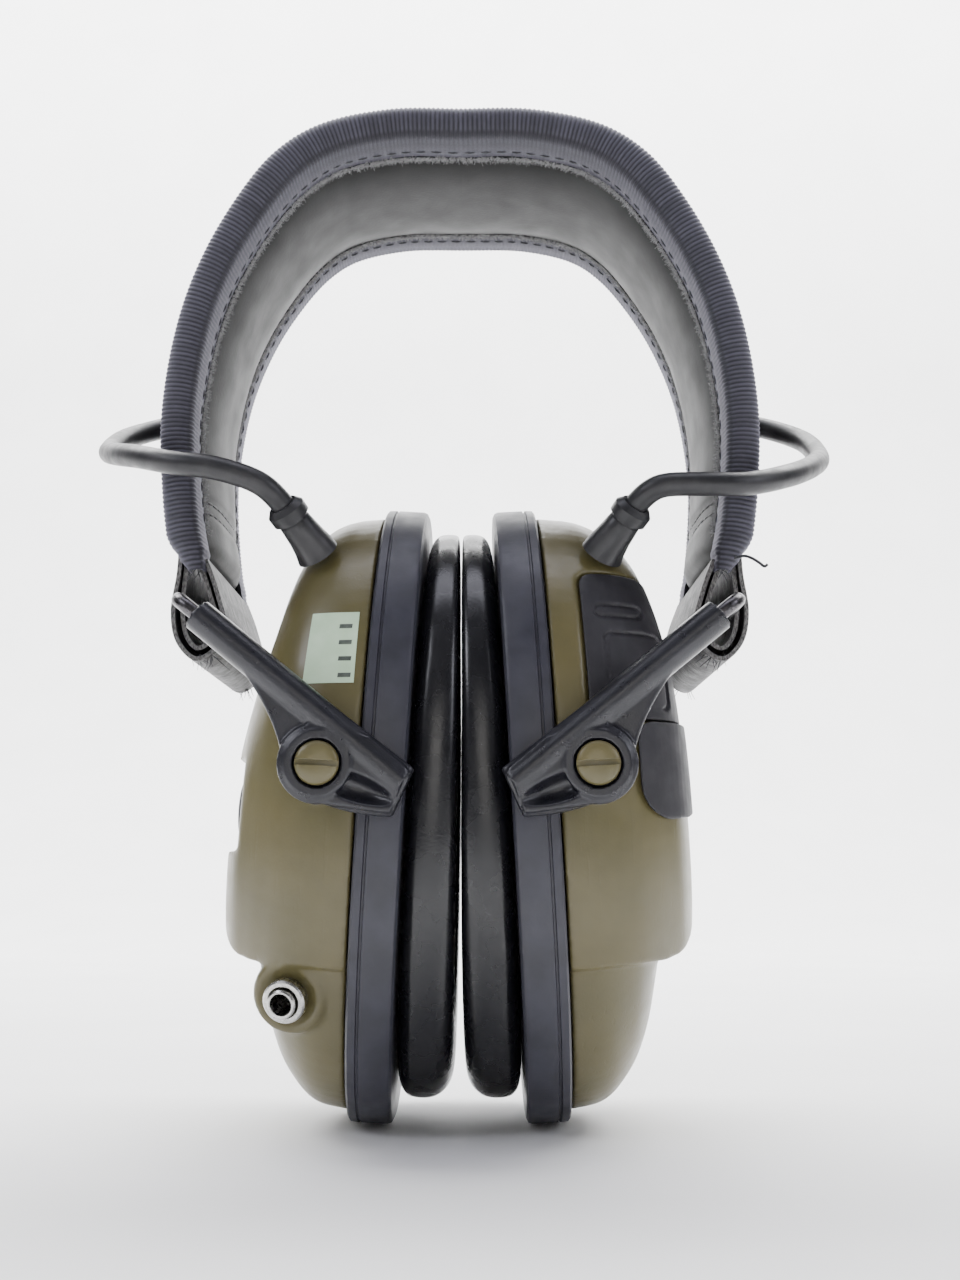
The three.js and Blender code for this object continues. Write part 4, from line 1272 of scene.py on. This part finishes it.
def make_screws(side, sign):
    for edge, face in (("rear", -1), ("front", 1)):
        centre = Vector((sign * PIVOT_LOCAL[0], 0, PIVOT_LOCAL[1]))
        way = Vector((0, face, 0))
        profile = [(29, 1.95), (42.2, 1.95), (42.2, 3.55), (43.1, 3.6), (43.55, 3.35), (43.85, 2.7), (43.98, 1.5), (44.02, 0.1)]
        screw = lathe(f"pivot_cap_{edge}_{side}", profile, centre, way, 64)
        x, z = centre.x, centre.z
        low, high = sorted((face * 43.15, face * 45))
        boolean(screw, box_object("slot", (x - 5, low, z - 0.45), (x + 5, high, z + 0.45)), "DIFFERENCE")
        bevel = screw.modifiers.new("bevel", "BEVEL")
        bevel.width = 0.12 * MM
        bevel.segments = 2
        bevel.limit_method = "ANGLE"
        apply_modifiers(screw)
        smooth(screw, 35)
        screw.matrix_world = cup_matrix(sign)
        finish_piece(screw, "olive", "olive_plastic", f"cup_{side}", f"pivot_screw_{edge}_{side}")


def make_mic_cover(side, sign):
    profile = [(34.9, 5.2), (35.6, 5.2), (36.1, 4.9), (36.4, 4.0), (36.55, 2.4), (36.6, 0.15)]
    at = Vector((sign * MIC[0], 0, MIC[1]))
    cover = lathe(f"mic_foam_{side}", profile, at, (0, 1, 0), 40)
    cover.matrix_world = cup_matrix(sign)
    finish_piece(cover, "foam", "open_foam", f"cup_{side}", f"mic_cover_{side}")


def make_relief(side, sign):
    """The tapered boot of the cable, flattened where it meets the cup, with a collar at its tip."""
    base, tip = Vector(RELIEF_BASE), Vector(RELIEF_TIP)
    way = (tip - base).normalized()
    across = way.cross(Vector((0, 0, 1))).normalized()
    up = across.cross(way)
    length = (tip - base).length
    rows = [
        (-0.5, 4.3, 3.6), (1.2, 4.1, 3.5), (3.2, 3.7, 3.2), (5.2, 3.35, 2.95), (7.0, 3.05, 2.75),
        (7.25, 2.85, 2.55), (7.6, 2.85, 2.55), (7.85, 3.6, 3.35), (9.7, 3.65, 3.4), (10.05, 3.35, 3.1),
        (length, 2.7, 2.6),
    ]
    rings = []
    for distance, wide, thick in rows:
        ring = []
        for k in range(36):
            a = 2 * math.pi * k / 36
            wide_notch = 0.75 - 0.09 * distance
            notch = 0.7 * math.exp(-(((a - 4.0) / wide_notch) ** 4)) if 1.0 < distance < 6.4 else 0
            ring.append(base + way * distance + across * math.cos(a) * wide + up * math.sin(a) * (thick - notch))
        rings.append(ring)
    boot = mesh_object(f"cable_boot_{side}", *loft(rings), sharp=32, mirror=sign < 0)
    finish_piece(boot, "cable", "cable_rubber", f"cup_{side}", f"strain_relief_{side}")


CORD_PARTS = (("band", "bail", 13.6, 3.0), ("bail", "arms", 1.0, -14.0), ("arms", "cup", -16.0, -29.5))


def make_cord(side, sign):
    """The outer cable, in three stretches named for the neighbouring bodies of the chain they run between."""
    points = [Vector(p) for p in reversed(CORD_ROUTES[side])]
    route = Route(catmull_rom(points))
    samples = [route.at(s) for s in steps(0, route.length, 0.7)]
    cuts = [0]
    for limit in (2.0, -15.0):
        cuts.append(next(i for i, p in enumerate(samples) if p.y < limit))
    cuts.append(len(samples) - 1)
    for (a, b, start, end), first, last in zip(CORD_PARTS, cuts, cuts[1:]):
        piece = tube(f"cable_{a}_{b}_{side}", samples[first:last + 1], CORD_R, 24, mirror=sign < 0)
        own = [f"outer_cable_{side}"] if a == "band" else []
        finish_piece(piece, "cable", "cable_rubber", None, *own)
        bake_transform(piece)
    mouth, inward = samples[0], (samples[1] - samples[0]).normalized()
    rings = []
    for distance, radius in ((-0.9, 2.35), (-0.9, 3.1), (0.2, 3.05), (0.9, 2.5), (0.9, 2.25)):
        across = inward.orthogonal().normalized()
        up = inward.cross(across)
        rings.append([
            mouth + inward * distance + (across * math.cos(t) + up * math.sin(t)) * radius
            for t in (2 * math.pi * k / 32 for k in range(32))
        ])
    grommet = mesh_object(f"cable_grommet_{side}", *loft(rings, closed=True), sharp=50, mirror=sign < 0)
    finish_piece(grommet, "rubber", "cable_rubber", f"band_{side}")


# ---------------------------------------------------------------- controls
def make_knob():
    def knurl(distance, angle):
        return 0.24 * math.cos(36 * angle) if 0.2 < distance < 3.2 else 0
    profile = [
        (-1.2, 2.9), (0.3, 2.9), (0.3, 6.6), (0.6, 7.05), (1.2, 7.15), (2.4, 7.15), (2.9, 7.0), (3.3, 6.4),
        (3.6, 6.0), (3.85, 5.2), (3.7, 4.2), (3.65, 0.2),
    ]
    knob = lathe("knob_knurled", profile, (-20.9, 0, KNOB_Z), (-1, 0, 0), 288, knurl)
    pointer = box_object("pointer", (-28, -0.5, KNOB_Z + 2.4), (-24.3, 0.5, KNOB_Z + 9))
    boolean(knob, pointer, "DIFFERENCE")
    smooth(knob, 35)
    knob.matrix_world = cup_matrix(-1)
    finish_piece(knob, "rubber", "soft_rubber", "volume_knob", "volume_knob_left")


def make_jack():
    flip = Vector((-1, 1, 1))
    at, way = JACK_AT * flip, JACK_WAY * flip

    def knurl(distance, angle):
        return 0.13 * math.cos(28 * angle) if 0.7 < distance < 1.7 else 0
    nut_rows = [(0.3, 2.75), (0.3, 3.6), (0.6, 3.68), (1.8, 3.66), (2.1, 3.4), (2.2, 3.1), (2.2, 2.75)]
    across = way.orthogonal().normalized()
    up = way.cross(across)
    rings = []
    for i in range(168):
        a = 2 * math.pi * i / 168
        spoke = across * math.cos(a) + up * math.sin(a)
        rings.append([at + way * d + spoke * (r + (knurl(d, a) if r > 3.2 else 0)) for d, r in nut_rows])
    nut = mesh_object("jack_nut_knurled", *loft(rings, closed=True), sharp=30)
    nut.matrix_world = cup_matrix(-1)
    finish_piece(nut, "plated", "plated_steel", "cup_left", "jack_nut_left")
    rows = [(-11, 0.1), (-11, 2.45), (3.0, 2.45), (3.25, 2.2), (3.2, 1.9), (2.8, 1.78), (-9.4, 1.78), (-9.5, 0.1)]
    barrel = lathe("jack_barrel", rows, at, way, 48)
    barrel.matrix_world = cup_matrix(-1)
    finish_piece(barrel, "plated", "plated_steel", "cup_left", "audio_jack_left")


def make_door():
    """The battery panel, a skin let into the shell, with shallow framed fields on both flanks."""
    door = panel_skin(PANEL["back"], PANEL["proud"], 0)
    mic = Vector((MIC[0], 0, MIC[1]))
    boolean(door, lathe("mic_opening", [(20, 6.1), (45, 6.1)], mic, (0, 1, 0)), "DIFFERENCE")
    for x0, x1, z0, z1 in ((9.4, 21, 14.2, 28.2), (8.2, 17.5, 30.6, 33.4)):
        outline = round_rect(x0, x1, z0, z1, 1.6)
        inside = round_rect(x0 + 0.7, x1 - 0.7, z0 + 0.7, z1 - 0.7, 1.0)
        ring = through_cup("field", outline, False)
        boolean(ring, through_cup("inside", inside, False), "DIFFERENCE")
        skin = outer_form(True, PANEL["proud"] + 2)
        boolean(skin, outer_form(True, PANEL["proud"] - 0.4), "DIFFERENCE")
        boolean(skin, ring, "INTERSECT")
        boolean(door, skin, "DIFFERENCE")
    door.name = "battery_panel"
    soften(door, 0.3, 2)
    door.matrix_world = cup_matrix(1)
    finish_piece(door, "panel", "soft_rubber", "cup_right", "battery_door_right")


def make_latch():
    latch = outer_form(True, LATCH["proud"])
    boolean(latch, outer_form(True, LATCH["back"]), "DIFFERENCE")
    x, low, r = LATCH["inner"], LATCH["low"], LATCH["corner"]
    high = PANEL["low"] - GAP
    corners = [*arc((x + 3, high - 3), 3, 90, 180, 6), *arc((x + r, low + r), r, 180, 262, 10)]
    rising = [(x + r + 3, low + 0.5), (x + r + 6, low + 2), (60, low + 5)]
    boolean(latch, through_cup("region", [(60, high), *corners, *rising], False), "INTERSECT")
    latch.name = "latch_tongue"
    soften(latch, 0.28, 3)
    latch.matrix_world = cup_matrix(1)
    finish_piece(latch, "panel", "soft_rubber", "door_latch", "door_latch_right")


def make_label(shell):
    """A plain film label laid on the left shell, with bars that say nothing."""
    bpy.context.view_layer.update()
    inverse = shell.matrix_world.inverted()

    def on_shell(y_from, x, z):
        """The shell's point behind (x, z), seen along +Y, in the object's frame."""
        start = inverse @ (Vector((x, y_from, z)) * MM)
        way = inverse.to_3x3() @ Vector((0, 1, 0))
        hit, place, normal, _ = shell.ray_cast(start, way)
        return shell.matrix_world @ place, (shell.matrix_world.to_3x3() @ normal).normalized()

    def film(name, corners, lift, look, columns=14, rows=14):
        low_left, low_right, top_right, top_left = (Vector(c) for c in corners)
        top, bottom = [], []
        for j in range(rows + 1):
            for i in range(columns + 1):
                left = low_left.lerp(top_left, j / rows)
                right = low_right.lerp(top_right, j / rows)
                x, z = left.lerp(right, i / columns)
                place, normal = on_shell(-60, x, z)
                top.append((place + normal * lift * MM) / MM)
                bottom.append((place + normal * (lift - 0.09) * MM) / MM)
        wide = columns + 1
        faces = []
        for j in range(rows):
            for i in range(columns):
                a = j * wide + i
                faces.append((a, a + 1, a + wide + 1, a + wide))
                b = a + len(top)
                faces.append((b, b + wide, b + wide + 1, b + 1))
        rim = [i for i in range(columns)] + [j * wide + columns for j in range(rows)]
        rim += [rows * wide + i for i in range(columns, 0, -1)] + [j * wide for j in range(rows, 0, -1)]
        for a, b in zip(rim, [*rim[1:], rim[0]]):
            faces.append((a, b, b + len(top), a + len(top)))
        piece = mesh_object(name, top + bottom, faces, sharp=40)
        finish_piece(piece, look, "olive_plastic", "cup_left")

    corners = [(-26.4, -102.4), (-17.6, -102.4), (-17.0, -89.8), (-25.2, -89.8)]
    film("label_left", corners, 0.12, "label")
    for i in range(4):
        z = -92.0 - 2.9 * i
        film(f"label_bar_{i}", [(-20.4, z - 0.75), (-18.2, z - 0.75), (-18.1, z), (-20.3, z)], 0.16, "print", 4, 2)


for side_name, side_sign in SIDES.items():
    make_headband(side_name, side_sign)
    make_strap(side_name, side_sign)
    make_wire(side_name, side_sign)
    cup_shell = make_shell(side_name, side_sign)
    make_plate(side_name, side_sign)
    make_cushion(side_name, side_sign)
    make_foam(side_name, side_sign)
    make_screws(side_name, side_sign)
    make_mic_cover(side_name, side_sign)
    make_relief(side_name, side_sign)
    make_cord(side_name, side_sign)
make_arms()
make_knob()
make_jack()
make_door()
make_latch()
make_label(cup_shell)

# ---------------------------------------------------------------- studio
floor_z = cad_box[0].z / MM - 0.2
profile = [(-1500, floor_z), (500, floor_z)]
profile += [(500 + 500 * math.sin(a), floor_z + 500 * (1 - math.cos(a))) for a in np.linspace(0.1, math.pi / 2, 16)]
profile += [(1000, 2500)]
verts = [(x, y, z) for x in (-3000, 3000) for y, z in profile]
n = len(profile)
backdrop = mesh_object("floor", verts, [(i, i + 1, n + i + 1, n + i) for i in range(n - 1)])
studio = Look("studio paper", (0.86, 0.86, 0.86), 0.9)
studio.tint(studio.curve(studio.noise(60, 3), 0.3, 0.7), (0.84, 0.84, 0.84), (0.88, 0.88, 0.88))
backdrop.data.materials.append(studio.material)

area_light("key", (-520, -380, 330), (300, 220), 1.7, (0.90, 0.91, 1))
area_light("fill", (560, -360, 200), (240, 300), 1.1, (0.88, 0.89, 1))
area_light("front", (20, -900, 60), (300, 300), 0.7, (1, 0.97, 0.92))
area_light("top", (0, -150, 600), (560, 260), 1.9, (0.88, 0.88, 1))
area_light("wash", (0, 480, 900), (2200, 600), 78, aim=(0, 850, 60))
world = bpy.data.worlds.new("world")
scene.world = world
world.use_nodes = True
world.node_tree.nodes["Background"].inputs["Color"].default_value = (0.95, 0.96, 1, 1)
world.node_tree.nodes["Background"].inputs["Strength"].default_value = 0.16
